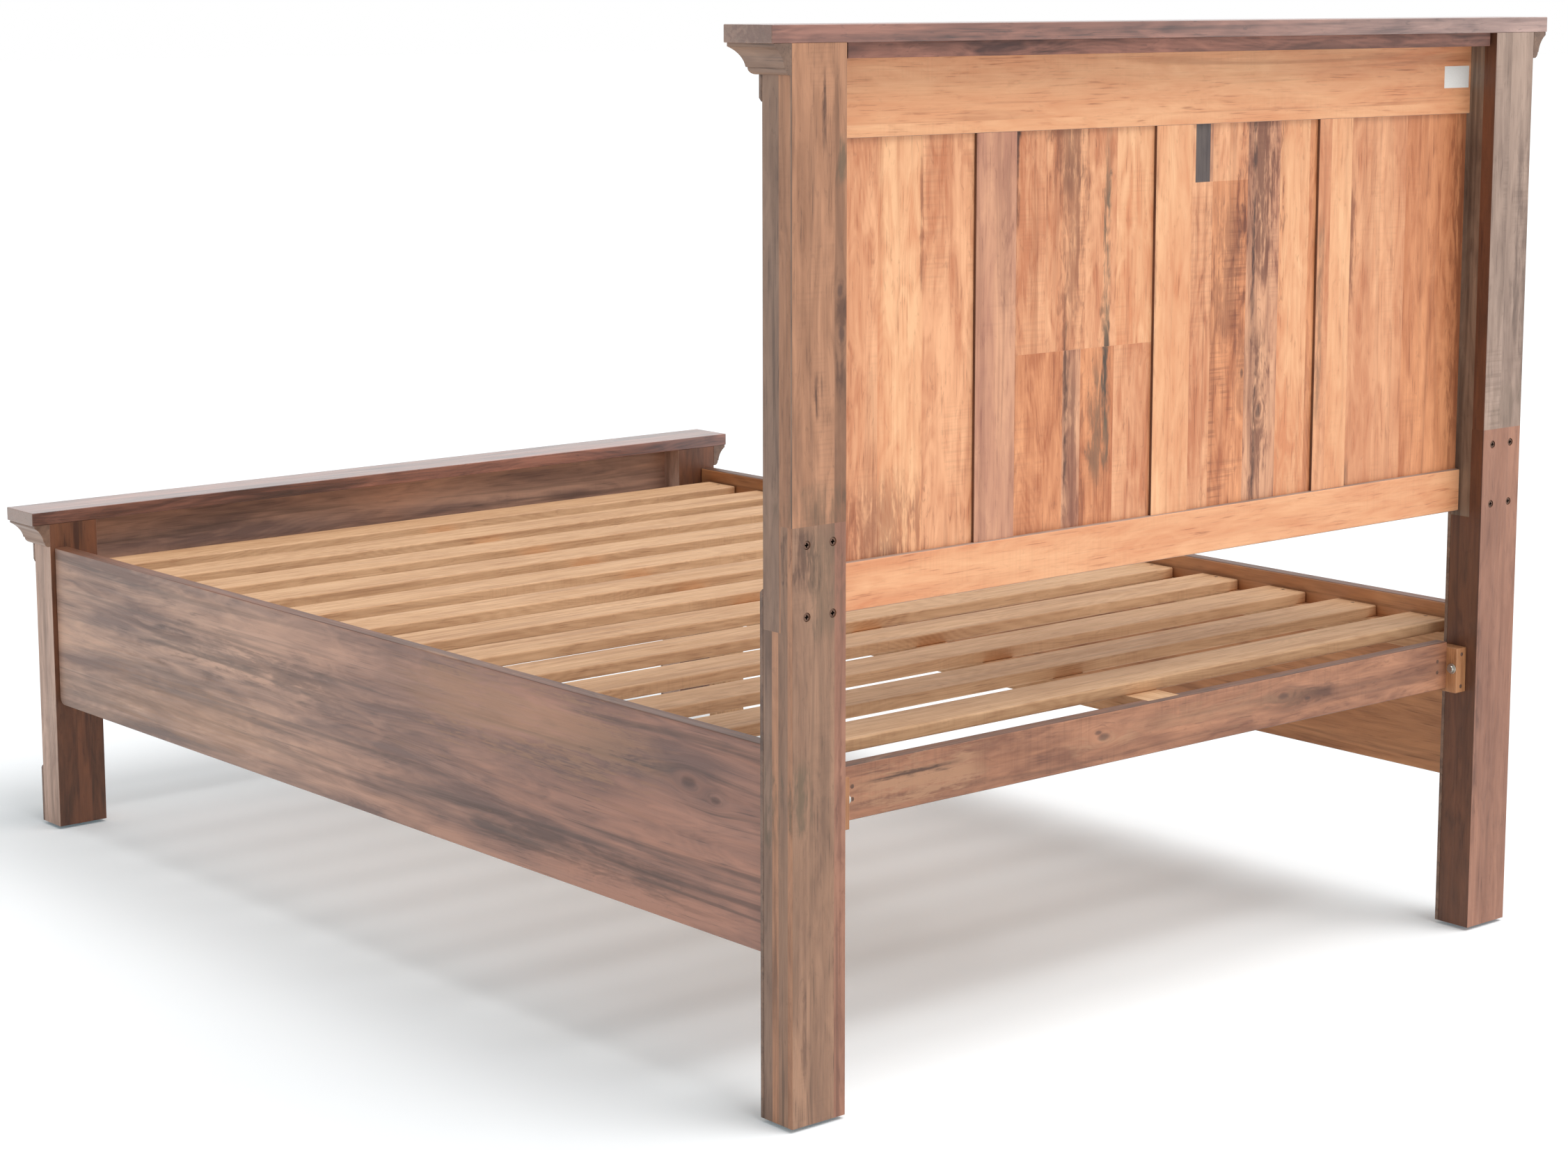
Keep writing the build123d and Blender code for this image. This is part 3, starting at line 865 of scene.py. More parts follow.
# Bronzed steel: a brown film that leaves only a weak metal shine.
BRONZED = MadeFinish(
    "bronzed_steel", "#8A6A58", "#54392E", 9.0, 0.6, metallic=0.5, roughness=(0.3, 0.56)
)
# Moulded polypropylene: a fine spark texture that keeps the gloss low, scuffed grey in places.
MOULDED = MadeFinish(
    "moulded_plastic", "#1E1B1A", "#3A3533", 7.0, 0.7, patch_range=(0.5, 0.75), detail=3.0,
    roughness=(0.55, 0.55), relief=0.4, relief_mm=0.12,
)
# Coated label paper: near white, with a faint fibre mottle and a weak sheen.
PAPER = MadeFinish(
    "label_paper", "#F6F4F0", "#E6E3DD", 2.2, 2.2, roughness=(0.42, 0.42), relief=0.2,
    relief_mm=0.05,
)


def post_plies(outer: Tone, strip: Tone, inner: Tone) -> tuple[Stave, ...]:
    """The plies seen on a post's sides: a thin skin, a paler strip and the thick core."""
    return (
        Stave(outer, 3, 0.5, cut=0.3), Stave(strip, 25, 0.3, cut=0.7), Stave(inner, 50, 0.5),
    )


class Joinery:
    """A sub-assembly of boards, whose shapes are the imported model's."""

    def boards(self) -> list[Board]:
        """Lists the wood of every board."""
        raise NotImplementedError

    def build(self) -> None:
        """Dresses every board."""
        for board in self.boards():
            dress(board.node, board.material())


def trim_boards(end: str, cuts: dict[str, float]) -> list[Board]:
    """Lists an end's mouldings and facings.

    Args:
        end: The start of the nodes' names.
        cuts: The cut of wood of each, by the rest of its node's name.

    Returns:
        The boards.
    """
    returns = ("crown_left", "crown_right")
    return [
        Board(f"{end}_{name}", Axis.Y if name in returns else Axis.X, Axis.Z,
              (Stave(Tone.MINK, 100, 0.5, 0.1, cut),), finish=CLOUDY)
        for name, cut in cuts.items()
    ]


@dataclass
class Headboard(Joinery):
    """The tall end: two posts on legs, a panel field in rails, a crown and a cap.

    Attributes:
        panel_2_joint: Height of the finger joint across the second panel, in millimetres.
        panel_3_joint: Height of the finger joint across the third panel.
        cap_rubbed: Place across the bed where the cap's stain turns paler.
        cap_rubbed_over: Length over which it turns.
    """

    panel_2_joint: float = 1075.0
    panel_3_joint: float = 1316.0
    cap_rubbed: float = -350.0
    cap_rubbed_over: float = 1300.0

    def panels(self) -> list[Board]:
        """Lists the four panels."""
        x, z = Axis.X, Axis.Z
        right = (
            Stave(Tone.ROSE, 76, 0.5, 0.3, 0.37), Stave(Tone.HONEY, 71, 0.2, 0.1, 0.88),
            Stave(Tone.AMBER, 20, 0.4, 0.1, 0.02),
        )
        return [
            Board("head_panel_1", z, x, (
                Stave(Tone.TAN, 109, 0.3, 0.15, 0.11), Stave(Tone.HONEY, 86, 0.2, 0.1, 0.53),
                Stave(Tone.TAN, 110, 0.3, 0.25, 0.82),
            ), streaks=(
                Streak(600, 130, 690, 940, Tone.AMBER, 0.5),
                Streak(585, 60, 690, 830, strength=0.6),
                Streak(700, 12, 1000, 1150, strength=0.35),
                Streak(712, 60, 900, 1300, Tone.AMBER, 0.35),
                Streak(520, 6, 1150, 1420, Tone.AMBER, 0.7, 12),
            )),
            Board("head_panel_2", z, x, (
                Stave(Tone.AMBER, 111, 0.25, 0.2, 0.21), Stave(Tone.ROSE, 37, 0.4, 0.1, 0.66),
                Stave(Tone.AMBER, 72, 0.3, 0.15, 0.05), Stave(Tone.TAN, 90, 0.2, 0.2, 0.45),
            ), beyond=(
                Stave(Tone.TAN, 72, 0.3, 0.2, 0.31), Stave(Tone.TAN, 85, 0.4, 0.3, 0.74),
                Stave(Tone.TAN, 42, 0.3, 0.1, 0.15), Stave(Tone.TAN, 23, 0.3, 0.1, 0.92),
                Stave(Tone.HONEY, 90, 0.15, 0.2, 0.57),
            ), joint=self.panel_2_joint, streaks=(
                # The first two stains, along the edge beside the left muntin, are painted shade:
                # the joint's shadow line, darkest towards the top.
                Streak(333, 9, 1190, 1640, Tone.COCOA, 0.95, 1),
                Streak(334, 8, 800, 1260, strength=0.4, wander=2),
                Streak(224, 70, 1290, 1520, strength=0.5, wander=8),
                Streak(216, 40, 1060, 1400, strength=0.42, wander=12),
                Streak(216, 34, 780, 1085, strength=0.45, wander=14),
                Streak(226, 8, 790, 1200, Tone.COCOA, 0.75, 14),
                Streak(158, 34, 850, 1080, Tone.OLIVE, 0.6),
                Streak(140, 14, 830, 1460, Tone.OLIVE, 0.85, 10),
                Streak(140, 8, 960, 1110, Tone.SLATE, 0.7, 10),
                Streak(260, 120, 690, 820, strength=0.4),
            )),
            Board("head_panel_3", z, x, (
                Stave(Tone.TAN, 58, 0.3, 0.2, 0.18), Stave(Tone.AMBER, 81, 0.4, 0.9, 0.63),
                *right,
            ), beyond=(
                Stave(Tone.TAN, 18, 0.3, 0.2, 0.18), Stave(Tone.SLATE, 32, 0.6, 0.2, 0.28),
                Stave(Tone.ROSE, 8, 0.4, 0.2, 0.5), Stave(Tone.TAN, 81, 0.3, 0.5, 0.63),
                *right,
            ), joint=self.panel_3_joint, knots=(Knot(-209, 946, 6), Knot(-168, 1010, 4)),
                streaks=(
                    Streak(-204, 62, 1090, 1540, strength=0.72, wander=16),
                    Streak(-186, 9, 1010, 1500, Tone.SLATE, 0.7, 12),
                    Streak(-206, 36, 780, 1120, strength=0.7, wander=16),
                    Streak(-198, 8, 790, 1060, Tone.COCOA, 0.85, 14),
                    Streak(-135, 80, 1040, 1330, strength=0.4, wander=8),
                    Streak(-178, 60, 930, 1090, strength=0.3, wander=8),
                )),
            Board("head_panel_4", z, x, (
                Stave(Tone.TAN, 150, 0.2, 0.15, 0.41), Stave(Tone.AMBER, 110, 0.3, 0.1, 0.77),
            ), streaks=(
                Streak(-428, 12, 1080, 1340, Tone.AMBER, 0.75, 6),
                # This stain along the edge beside the right post is painted shade: the post's
                # shadow on the panel.
                Streak(-712, 44, 740, 1520, Tone.AMBER, 0.6, 14),
                Streak(-420, 30, 740, 860, Tone.OLIVE, 0.4),
            ), finish=CALM),
        ]

    def field(self) -> list[Board]:
        """Lists the muntins, rails and cap that frame the panels."""
        x, y, z = Axis.X, Axis.Y, Axis.Z
        # The muntins' side faces take COCOA: painted shade, standing in for the shadow in the
        # recess beside each muntin.
        side, shelf = (Stave(Tone.COCOA),), (Stave(Tone.DRIFT),)
        muntins = [
            Board(f"head_muntin_{name}", z, x, staves, edges=side, streaks=(streak,), finish=CALM)
            for name, staves, streak in (
                ("left", (Stave(Tone.DUSTY, 82, 0.3, 0.1, 0.13),),
                 Streak(358, 26, 1100, 1420, strength=0.25)),
                ("centre", (Stave(Tone.HONEY, 82, 0.2, 0.1, 0.35),),
                 Streak(38, 5, 1000, 1420, strength=0.5, wander=4)),
                ("right", (Stave(Tone.TAN, 30, 0.3, 0.1, 0.59),
                           Stave(Tone.HONEY, 64, 0.2, 0.1, 0.71)),
                 Streak(-345, 12, 900, 1300, Tone.OLIVE, 0.5, 8)),
            )
        ]
        return muntins + [
            Board("head_top_rail", x, z, (
                Stave(Tone.HONEY, 116, 0.35, 0.1, 0.27), Stave(Tone.HONEY, 25, 0.1, 0.1, 0.83),
            ), edges=shelf, finish=PLAIN_SAWN),
            Board("head_bottom_rail", x, z, (Stave(Tone.HONEY, 72, 0.1, 0.1, 0.9),),
                  edges=shelf, finish=PLAIN_SAWN),
            Board("head_cap", x, y, (Stave(Tone.FROST, 104, 0.5, 0.1, 0.44),),
                  beyond=(Stave(Tone.CAPPED, 104, 0.8, 0.1, 0.44),), joint=self.cap_rubbed,
                  melt=self.cap_rubbed_over, finish=POLISHED, sealed_end=CAP_END,
                  streaks=(Streak(1150, 170, 640, 1400, Tone.PLUM, 0.5, 6),)),
            Board("head_cap_cleat", x, y, (Stave(Tone.CAPPED, 44, 0.5, 0.1, 0.19),)),
        ]

    def posts(self) -> list[Board]:
        """Lists the posts and the legs under them."""
        x, z = Axis.X, Axis.Z
        front = (Stave(Tone.MINK, 60, 0.4, 0.1, 0.36), Stave(Tone.DUSK, 60, 0.4, 0.1, 0.64))
        return [
            Board("head_post_left", z, x, (
                Stave(Tone.FAWN, 8, 0.4, 0.1, 0.23), Stave(Tone.FAWN, 69, 0.25, 0.2, 0.61),
                Stave(Tone.FAWN, 23, 0.4, 0.1, 0.84),
            ), edges=post_plies(Tone.MINK, Tone.FAWN, Tone.MINK), low_face=front,
                finish=CALM, knots=(Knot(729, 1200, 5), Knot(726, 1140, 6)), streaks=(
                    Streak(727, 14, 1340, 1420, Tone.OLIVE, 0.7, 6),
                    Streak(727, 15, 1040, 1230, Tone.COCOA, 0.55, 6),
                    Streak(757, 6, 1395, 1515, Tone.COCOA, 0.8, 7),
                    Streak(772, 5, 1010, 1100, Tone.COCOA, 0.8, 7),
                    Streak(770, 80, 868, 940, Tone.OLIVE, 0.35),
                )),
            Board("head_leg_left", z, x, (
                Stave(Tone.DUSK, 26, 0.3, 0.15, 0.52), Stave(Tone.DUSK, 52, 0.3, 0.1, 0.77),
                Stave(Tone.BLUSH, 60, 0.5, 0.1, 0.17),
            ), edges=(
                Stave(Tone.FAWN, 10, 0.5, 0.1, 0.4), Stave(Tone.DUSK, 20, 0.6, 0.1, 0.9),
                Stave(Tone.FAWN, 14, 0.6, 0.1, 0.1), Stave(Tone.MINK, 30, 0.6, 0.1, 0.3),
            ), low_face=front, finish=CALM, streaks=(
                Streak(795, 44, 770, 885, Tone.COCOA, 0.6, 8),
                Streak(760, 60, 700, 890, Tone.OLIVE, 0.35, 8),
                Streak(800, 26, 400, 560, Tone.OLIVE, 0.7, 8),
                Streak(726, 12, 60, 640, strength=0.4, wander=8),
                Streak(792, 8, 60, 240, Tone.COCOA, 0.5, 12),
            )),
            Board("head_post_right", z, x, (
                Stave(Tone.DRIFT, 42, 0.3, 0.45, 0.31), Stave(Tone.DRIFT, 58, 0.3, 0.35, 0.72),
            ), edges=(
                # The inner face's dark browns are partly the post's stain and partly painted
                # shade for the dim recess beside the panel.
                Stave(Tone.COCOA, 24, 0.5, 0.1, 0.5), Stave(Tone.BARK, 60, 0.5, 0.1, 0.2),
            ), low_face=front, finish=CALM, streaks=(
                Streak(-812, 10, 875, 1500, Tone.MINK, 0.4, 8),
                Streak(-790, 16, 980, 1440, Tone.MINK, 0.45, 14),
                Streak(-770, 60, 870, 960, Tone.OLIVE, 0.25),
            )),
            Board("head_leg_right", z, x, (Stave(Tone.BLUSH, 100, 0.2, 0.1, 0.93),),
                  edges=(Stave(Tone.COCOA, 70, 0.5, 0.1, 0.2),), low_face=front, finish=CALM,
                  streaks=(Streak(-722, 8, 100, 700, Tone.COCOA, 0.4, 8),)),
        ]

    def boards(self) -> list[Board]:
        """Lists the wood of every board.

        Returns:
            The boards.
        """
        cuts = {"crown_left": 0.15, "crown_right": 0.5, "crown_front": 0.85,
                "capital_left": 0.25, "capital_right": 0.6, "plinth_left": 0.4,
                "plinth_right": 0.7}
        trim = trim_boards("head", cuts)
        return self.panels() + self.field() + self.posts() + trim


@dataclass
class Footboard(Joinery):
    """The low end, made like the headboard.

    Attributes:
        panels: How many panels it has.
    """

    panels: int = 4

    def boards(self) -> list[Board]:
        """Lists the wood of every board.

        Returns:
            The boards.
        """
        x, y, z = Axis.X, Axis.Y, Axis.Z
        panels = [
            Board(f"foot_panel_{n}", z, x, (
                Stave(Tone.MAUVE, 100, 0.4, 0.1, 0.17 * n % 1),
                Stave(Tone.CLAY, 110, 0.4, 0.1, 0.29 * n % 1),
                Stave(Tone.RUSSET, 90, 0.4, 0.1, 0.43 * n % 1),
            ), finish=CLOUDY)
            for n in range(1, self.panels + 1)
        ]
        framing = [
            Board(f"foot_{name}", grain, across, (Stave(tone, width, streaks, 0.1, cut),),
                  finish=CLOUDY)
            for name, grain, across, tone, width, streaks, cut in (
                ("muntin_left", z, x, Tone.MAUVE, 82, 0.4, 0.3),
                ("muntin_centre", z, x, Tone.CLAY, 82, 0.4, 0.6),
                ("muntin_right", z, x, Tone.MAUVE, 82, 0.4, 0.8),
                ("top_rail", x, z, Tone.CLAY, 200, 0.5, 0.2),
                ("bottom_rail", x, z, Tone.MAUVE, 200, 0.5, 0.7),
            )
        ]
        cap = Board("foot_cap", x, y, (Stave(Tone.CAPPED, 104, 0.7, 0.1, 0.4),),
                    finish=POLISHED, sealed_end=CAP_END)
        posts = [
            Board(f"foot_post_{side}", z, x, (
                Stave(Tone.COCOA, 43, 0.3, 0.1, cut), Stave(Tone.COCOA, 27, 0.8, 0.1, cut + 0.3),
                Stave(Tone.COCOA, 30, 0.3, 0.1, cut + 0.5),
            ), edges=(Stave(Tone.ASH, 64, 0.3, 0.1, cut),),
                low_face=(Stave(Tone.DUSK, 60, 0.4, 0.1, cut), Stave(Tone.MINK, 40, 0.4)))
            for side, cut in (("left", 0.12), ("right", 0.46))
        ]
        cuts = {"crown_left": 0.35, "crown_right": 0.65, "crown_front": 0.95,
                "capital_left": 0.2, "capital_right": 0.5, "plinth_left": 0.1,
                "plinth_right": 0.8}
        return panels + framing + [cap] + posts + trim_boards("foot", cuts)


@dataclass
class Deck(Joinery):
    """What holds the mattress: side rails, ledgers, cross rails, centre beam, leg and slats.

    Attributes:
        slats: How many slats there are.
        slat_pitch: How far apart their middles are, in millimetres.
        rail_turn: Length over which the left side rail's tone turns, in millimetres.
    """

    slats: int = 13
    slat_pitch: float = 164.0
    rail_turn: float = 1700.0

    def boards(self) -> list[Board]:
        """Lists the wood of every board.

        Returns:
            The boards.
        """
        x, y, z = Axis.X, Axis.Y, Axis.Z
        # The rails' top and bottom faces take COCOA: painted shade, standing in for the shadow
        # that a mattress lays on their tops, which also dulls the light on their top edges.
        top = (Stave(Tone.COCOA),)
        rails = [
            Board("side_rail_left", y, z, (Stave(Tone.CLAY, 306, 0.4, 0.05, 0.33),),
                  beyond=(Stave(Tone.MAUVE, 306, 0.6, 0.05, 0.33),), melt=self.rail_turn,
                  edges=top, knots=(Knot(468, 905, 9), Knot(452, 968, 6)), finish=CLOUDY,
                  streaks=(
                      Streak(480, 120, 100, 900, Tone.TAWNY, 0.5, 60),
                      Streak(330, 90, -900, -200, Tone.TAWNY, 0.3, 60),
                      Streak(440, 60, -800, 60, Tone.MINK, 0.4, 60),
                      Streak(300, 50, 300, 1000, Tone.MINK, 0.4, 60),
                  )),
            Board("side_rail_right", y, z, (Stave(Tone.TEAK, 306, 0.4, 0.05, 0.71),),
                  edges=top, low_face=(Stave(Tone.CLAY, 306, 0.5, 0.05, 0.11),), finish=CLOUDY),
            Board("head_cross_rail", x, z, (Stave(Tone.RUSSET, 82, 0.45, 0.3, 0.58),), edges=top,
                  knots=(Knot(470, 148, 7), Knot(478, 160, 4), Knot(474, -270, 7),
                         Knot(462, -330, 4)), streaks=(
                      Streak(466, 50, 380, 690, Tone.TAWNY, 0.75, 14),
                      Streak(478, 8, 440, 660, Tone.COCOA, 0.85, 10),
                      Streak(464, 26, 60, 240, Tone.TAWNY, 0.7, 10),
                      Streak(470, 24, -420, -180, Tone.COCOA, 0.55, 10),
                      Streak(474, 30, -360, 120, Tone.TAWNY, 0.4, 10),
                  )),
            Board("foot_cross_rail", x, z, (Stave(Tone.RUSSET, 82, 0.45, 0.3, 0.14),)),
        ]
        blocks = [
            Board(f"cross_rail_block_{side}", z, y, (Stave(Tone.TEAK, 47, 0.3, 0.1, cut),))
            for side, cut in (("left", 0.4), ("right", 0.8))
        ]
        planed = [
            Board(name, grain, across, (Stave(Tone.PLAIN, width, 0.3, 0.2, cut),), finish=RAW)
            for name, grain, across, width, cut in (
                ("ledger_left", y, z, 38, 0.2), ("ledger_right", y, z, 38, 0.6),
                ("centre_beam", y, x, 70, 0.9), ("centre_leg", z, x, 45, 0.1),
            )
        ]
        slats = Board("slats", x, y, tuple(
            Stave(Tone.PLAIN, self.slat_pitch, 0.3, 0.2, 0.37 * n % 1)
            for n in range(self.slats)
        ), finish=RAW)
        return rails + blocks + planed + [slats]


def turned(rings: list[tuple[Radius, float]], steps: int = 32) -> bmesh.types.BMesh:
    """Makes a surface turned round Z.

    Args:
        rings: Each ring's radius and height in millimetres, from the bottom. A radius may
            depend on the angle, and a first radius of 0 is a point.
        steps: Points in a ring.

    Returns:
        The surface, with its first end closed and its last end open.
    """
    bm = bmesh.new()
    loops = []
    for radius, height in rings:
        if radius == 0:
            loops.append([bm.verts.new((0, 0, height))])
            continue
        loop = []
        for i in range(steps):
            turn = math.tau * i / steps
            reach = radius(turn) if callable(radius) else radius
            loop.append(bm.verts.new((reach * math.cos(turn), reach * math.sin(turn), height)))
        loops.append(loop)
    if len(loops[0]) > 1:
        bm.faces.new(reversed(loops[0]))
    for lower, upper in zip(loops, loops[1:]):
        for i in range(steps):
            j = (i + 1) % steps
            corners = [lower[i % len(lower)], lower[j % len(lower)], upper[j], upper[i]]
            bm.faces.new(list(dict.fromkeys(corners)))
    return bm


def open_loop(bm: bmesh.types.BMesh) -> list[bmesh.types.BMEdge]:
    """Finds the edges round a surface's open end."""
    return [edge for edge in bm.edges if edge.is_boundary]


def close_flat(bm: bmesh.types.BMesh) -> bmesh.types.BMesh:
    """Closes a surface's open end with a flat face."""
    bmesh.ops.holes_fill(bm, edges=open_loop(bm), sides=0)
    return bm


def cut_cross(bm: bmesh.types.BMesh, reach: float, deep: float) -> bmesh.types.BMesh:
    """Closes a surface's open end with a screwdriver's cross recess.

    Args:
        bm: The surface.
        reach: How far the recess's arms reach, in millimetres.
        deep: Its depth.

    Returns:
        The closed surface.
    """
    rim = open_loop(bm)
    top = max(vert.co.z for edge in rim for vert in edge.verts)
    arm, narrows = 0.27 * reach, 0.5
    quarter = [(reach, -arm), (reach, arm), (arm, arm)]
    upper, lower = [], []
    for turn in range(4):
        spin = Matrix.Rotation(turn * math.pi / 2, 3, "Z")
        for x, y in quarter:
            upper.append(bm.verts.new(spin @ Vector((x, y, top))))
            lower.append(bm.verts.new(spin @ Vector((narrows * x, narrows * y, top - deep))))
    count = len(upper)
    lip = [bm.edges.new((upper[i], upper[(i + 1) % count])) for i in range(count)]
    bmesh.ops.bridge_loops(bm, edges=rim + lip)
    for i in range(count):
        j = (i + 1) % count
        bm.faces.new((upper[i], upper[j], lower[j], lower[i]))
    bmesh.ops.triangulate(bm, faces=[bm.faces.new(lower)])
    return bm


def hexagon(apothem: float) -> Callable[[float], float]:
    """Gives a hexagon's radius at an angle."""
    sixth = math.pi / 3
    return lambda turn: apothem / math.cos((turn % sixth) - sixth / 2)


def thread(outer: float, pitch: float, height: float) -> Callable[[float], float]:
    """Gives a screw thread's radius at an angle, at a height."""
    depth = 0.6 * pitch

    def radius(turn: float) -> float:
        """Rises and falls once in each pitch."""
        phase = (height / pitch - turn / math.tau) % 1
        return outer - depth * abs(2 * phase - 1)

    return radius


def threaded(outer: float, pitch: float, low: float, high: float) -> list[tuple[Radius, float]]:
    """Lists the rings of a threaded rod between two heights."""
    rings_per_turn = 8
    count = math.ceil((high - low) / pitch * rings_per_turn)
    heights = [low + (high - low) * i / count for i in range(count + 1)]
    return [(thread(outer, pitch, height), height) for height in heights]


def add_piece(
    name: str, solids: list[bmesh.types.BMesh], places: list[Matrix],
    mat: bpy.types.Material, body: str, stands_for: str | None = None,
) -> None:
    """Makes a piece from copies of some solids and sets it on its body.

    Args:
        name: The piece's name.
        solids: Solids in millimetres, round their own origin. They are used up.
        places: Where each copy of the solids goes, in metres.
        mat: The piece's material.
        body: The body that it rides on.
        stands_for: The model's node that it stands for, if any.
    """
    made = bmesh.new()
    scratch = bpy.data.meshes.new(f"{name}_scratch")
    for solid in solids:
        bmesh.ops.recalc_face_normals(solid, faces=solid.faces)
        for place in places:
            copy = solid.copy()
            copy.transform(place @ Matrix.Scale(MM, 4))
            copy.to_mesh(scratch)
            copy.free()
            made.from_mesh(scratch)
        solid.free()
    bpy.data.meshes.remove(scratch)
    mesh = bpy.data.meshes.new(name)
    made.to_mesh(mesh)
    made.free()
    mesh.shade_smooth()
    mesh.set_sharp_from_angle(angle=math.radians(32))
    mesh.materials.append(mat)
    piece = bpy.data.objects.new(name, mesh)
    bpy.context.collection.objects.link(piece)
    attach(piece, body)
    if stands_for:
        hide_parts(stands_for)
    log.info("made %s", name)


def facing(place: Vector, way: tuple[float, float, float]) -> Matrix:
    """Gives the matrix that puts a solid at a place, with its Z axis pointing a given way."""
    turn = Vector(way).to_track_quat("Z", "Y").to_matrix().to_4x4()
    return Matrix.Translation(place) @ turn


BACK, UP = (0, 1, 0), (0, 0, 1)


@dataclass
class Fittings:
    """The screws, bolts, plates, glides, levelling foot and label.

    Sizes are in millimetres. Heads and washers are given by their radius, and hexagons by
    half the width across their flats.

    Attributes:
        slats: How many slats the deck has.
        lap_head: The lap screws' heads.
        lap_shank: The lap screws' shanks.
        lap_seat: The seats of the lap screws' heads.
        lap_apart: How far apart a lap's two columns of screws are.
        slat_head: The slat screws' heads.
        slat_shank: The slat screws' shanks.
        rail_head: The heads of the cross rail's screws.
        rail_shank: Their shanks.
        rail_head_proud: How far those heads stand out.
        rail_screw_inset: How far those screws are from the cross rail's ends.
        rail_screw_part: Part of the rail's height that lies above its upper screws, as a
            divisor of that height.
        block_screw_part: The same for the end blocks.
        bolt_flat: The bolts' heads.
        bolt_head: The heads' height.
        bolt_shank: The bolts' shanks.
        bolt_pitch: The pitch of their thread.
        bolt_long: Their length under the head.
        washer: The washers' outer edge.
        washer_thick: The washers' thickness.
        foot_stem: The levelling foot's stem.
        foot_pitch: The pitch of its thread.
        foot_nut: Its lock nut.
        foot_ribs: How many ribs its pad has.
        foot_rib_deep: How deep they are.
    """

    slats: int
    lap_head: float = 6.3
    lap_shank: float = 2.4
    lap_seat: float = 6.4
    lap_apart: float = 48.0
    slat_head: float = 3.85
    slat_shank: float = 1.9
    rail_head: float = 3.4
    rail_shank: float = 1.8
    rail_head_proud: float = 0.5
    rail_screw_inset: float = 24.0
    rail_screw_part: float = 2.6
    block_screw_part: float = 7.0
    bolt_flat: float = 5.6
    bolt_head: float = 5.0
    bolt_shank: float = 4.0
    bolt_pitch: float = 1.25
    bolt_long: float = 69.0
    washer: float = 8.9
    washer_thick: float = 1.6
    foot_stem: float = 4.9
    foot_pitch: float = 1.5
    foot_nut: float = 8.5
    foot_ribs: int = 24
    foot_rib_deep: float = 0.35

    def lap_screws(self, mat: bpy.types.Material) -> None:
        """Makes the screws of the head posts' lap joints, four with pan heads in each."""
        low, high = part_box("lap_screws")
        head, shank, length = self.lap_head, self.lap_shank, (high.y - low.y) / MM
        rings = [(0, -length), (shank, 5 - length), (shank, -3.0), (head, -3.0), (head, -1.3)]
        rings += [(0.95 * head, -0.7), (0.8 * head, -0.25), (0.66 * head, 0.0)]
        solid = cut_cross(turned(rings), 0.56 * head, 1.7)
        seat = self.lap_seat * MM
        places = [
            facing(Vector((side * (high.x - seat - step * MM), high.y, z)), BACK)
            for side in (-1, 1) for step in (0, self.lap_apart)
            for z in (low.z + seat, high.z - seat)
        ]
        add_piece("lap_screw_heads", [solid], places, mat, BODY, "lap_screws")

    def slat_screws(self, mat: bpy.types.Material) -> None:
        """Makes the countersunk screws at the slats' ends."""
        low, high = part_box("slat_screws")
        head, shank, length = self.slat_head, self.slat_shank, (high.z - low.z) / MM
        rings = [(0, -length), (shank, 3 - length), (shank, -2.2), (head, -0.12)]
        rings += [(0.98 * head, 0.0), (0.7 * head, 0.0)]
        solid = cut_cross(turned(rings, 24), 0.58 * head, 1.3)
        edge = head * MM
        pitch = (high.y - low.y - 2 * edge) / (self.slats - 1)
        places = [
            facing(Vector((x, low.y + edge + pitch * n, high.z)), UP)
            for x in (low.x + edge, high.x - edge) for n in range(self.slats)
        ]
        add_piece("slat_screw_heads", [solid], places, mat, BODY,
                  "slat_screws")

    def rail_screws(self, mat: bpy.types.Material) -> None:
        """Makes the screws seen on the backs of the head cross rail and of its end blocks."""
        head, shank, proud = self.rail_head, self.rail_shank, self.rail_head_proud
        rings = [(0, -24), (shank, -20), (shank, -2), (head, -0.2), (head, 0.15)]
        rings += [(0.86 * head, 0.8 * proud), (0.64 * head, proud)]
        solid = cut_cross(turned(rings, 24), 0.55 * head, 0.45)
        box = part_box("head_cross_rail")
        reach = box[1].x - self.rail_screw_inset * MM
        columns = [(side * reach, box, self.rail_screw_part) for side in (-1, 1)]
        for name in ("right", "left"):
            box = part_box(f"cross_rail_block_{name}")
            columns.append(((box[0].x + box[1].x) / 2, box, self.block_screw_part))
        places = []
        for x, (low, high), part in columns:
            inset = (high.z - low.z) / part
            for z in (low.z + inset, high.z - inset):
                places.append(facing(Vector((x, high.y, z)), BACK))
        add_piece("cross_rail_screws", [solid], places, mat, BODY)

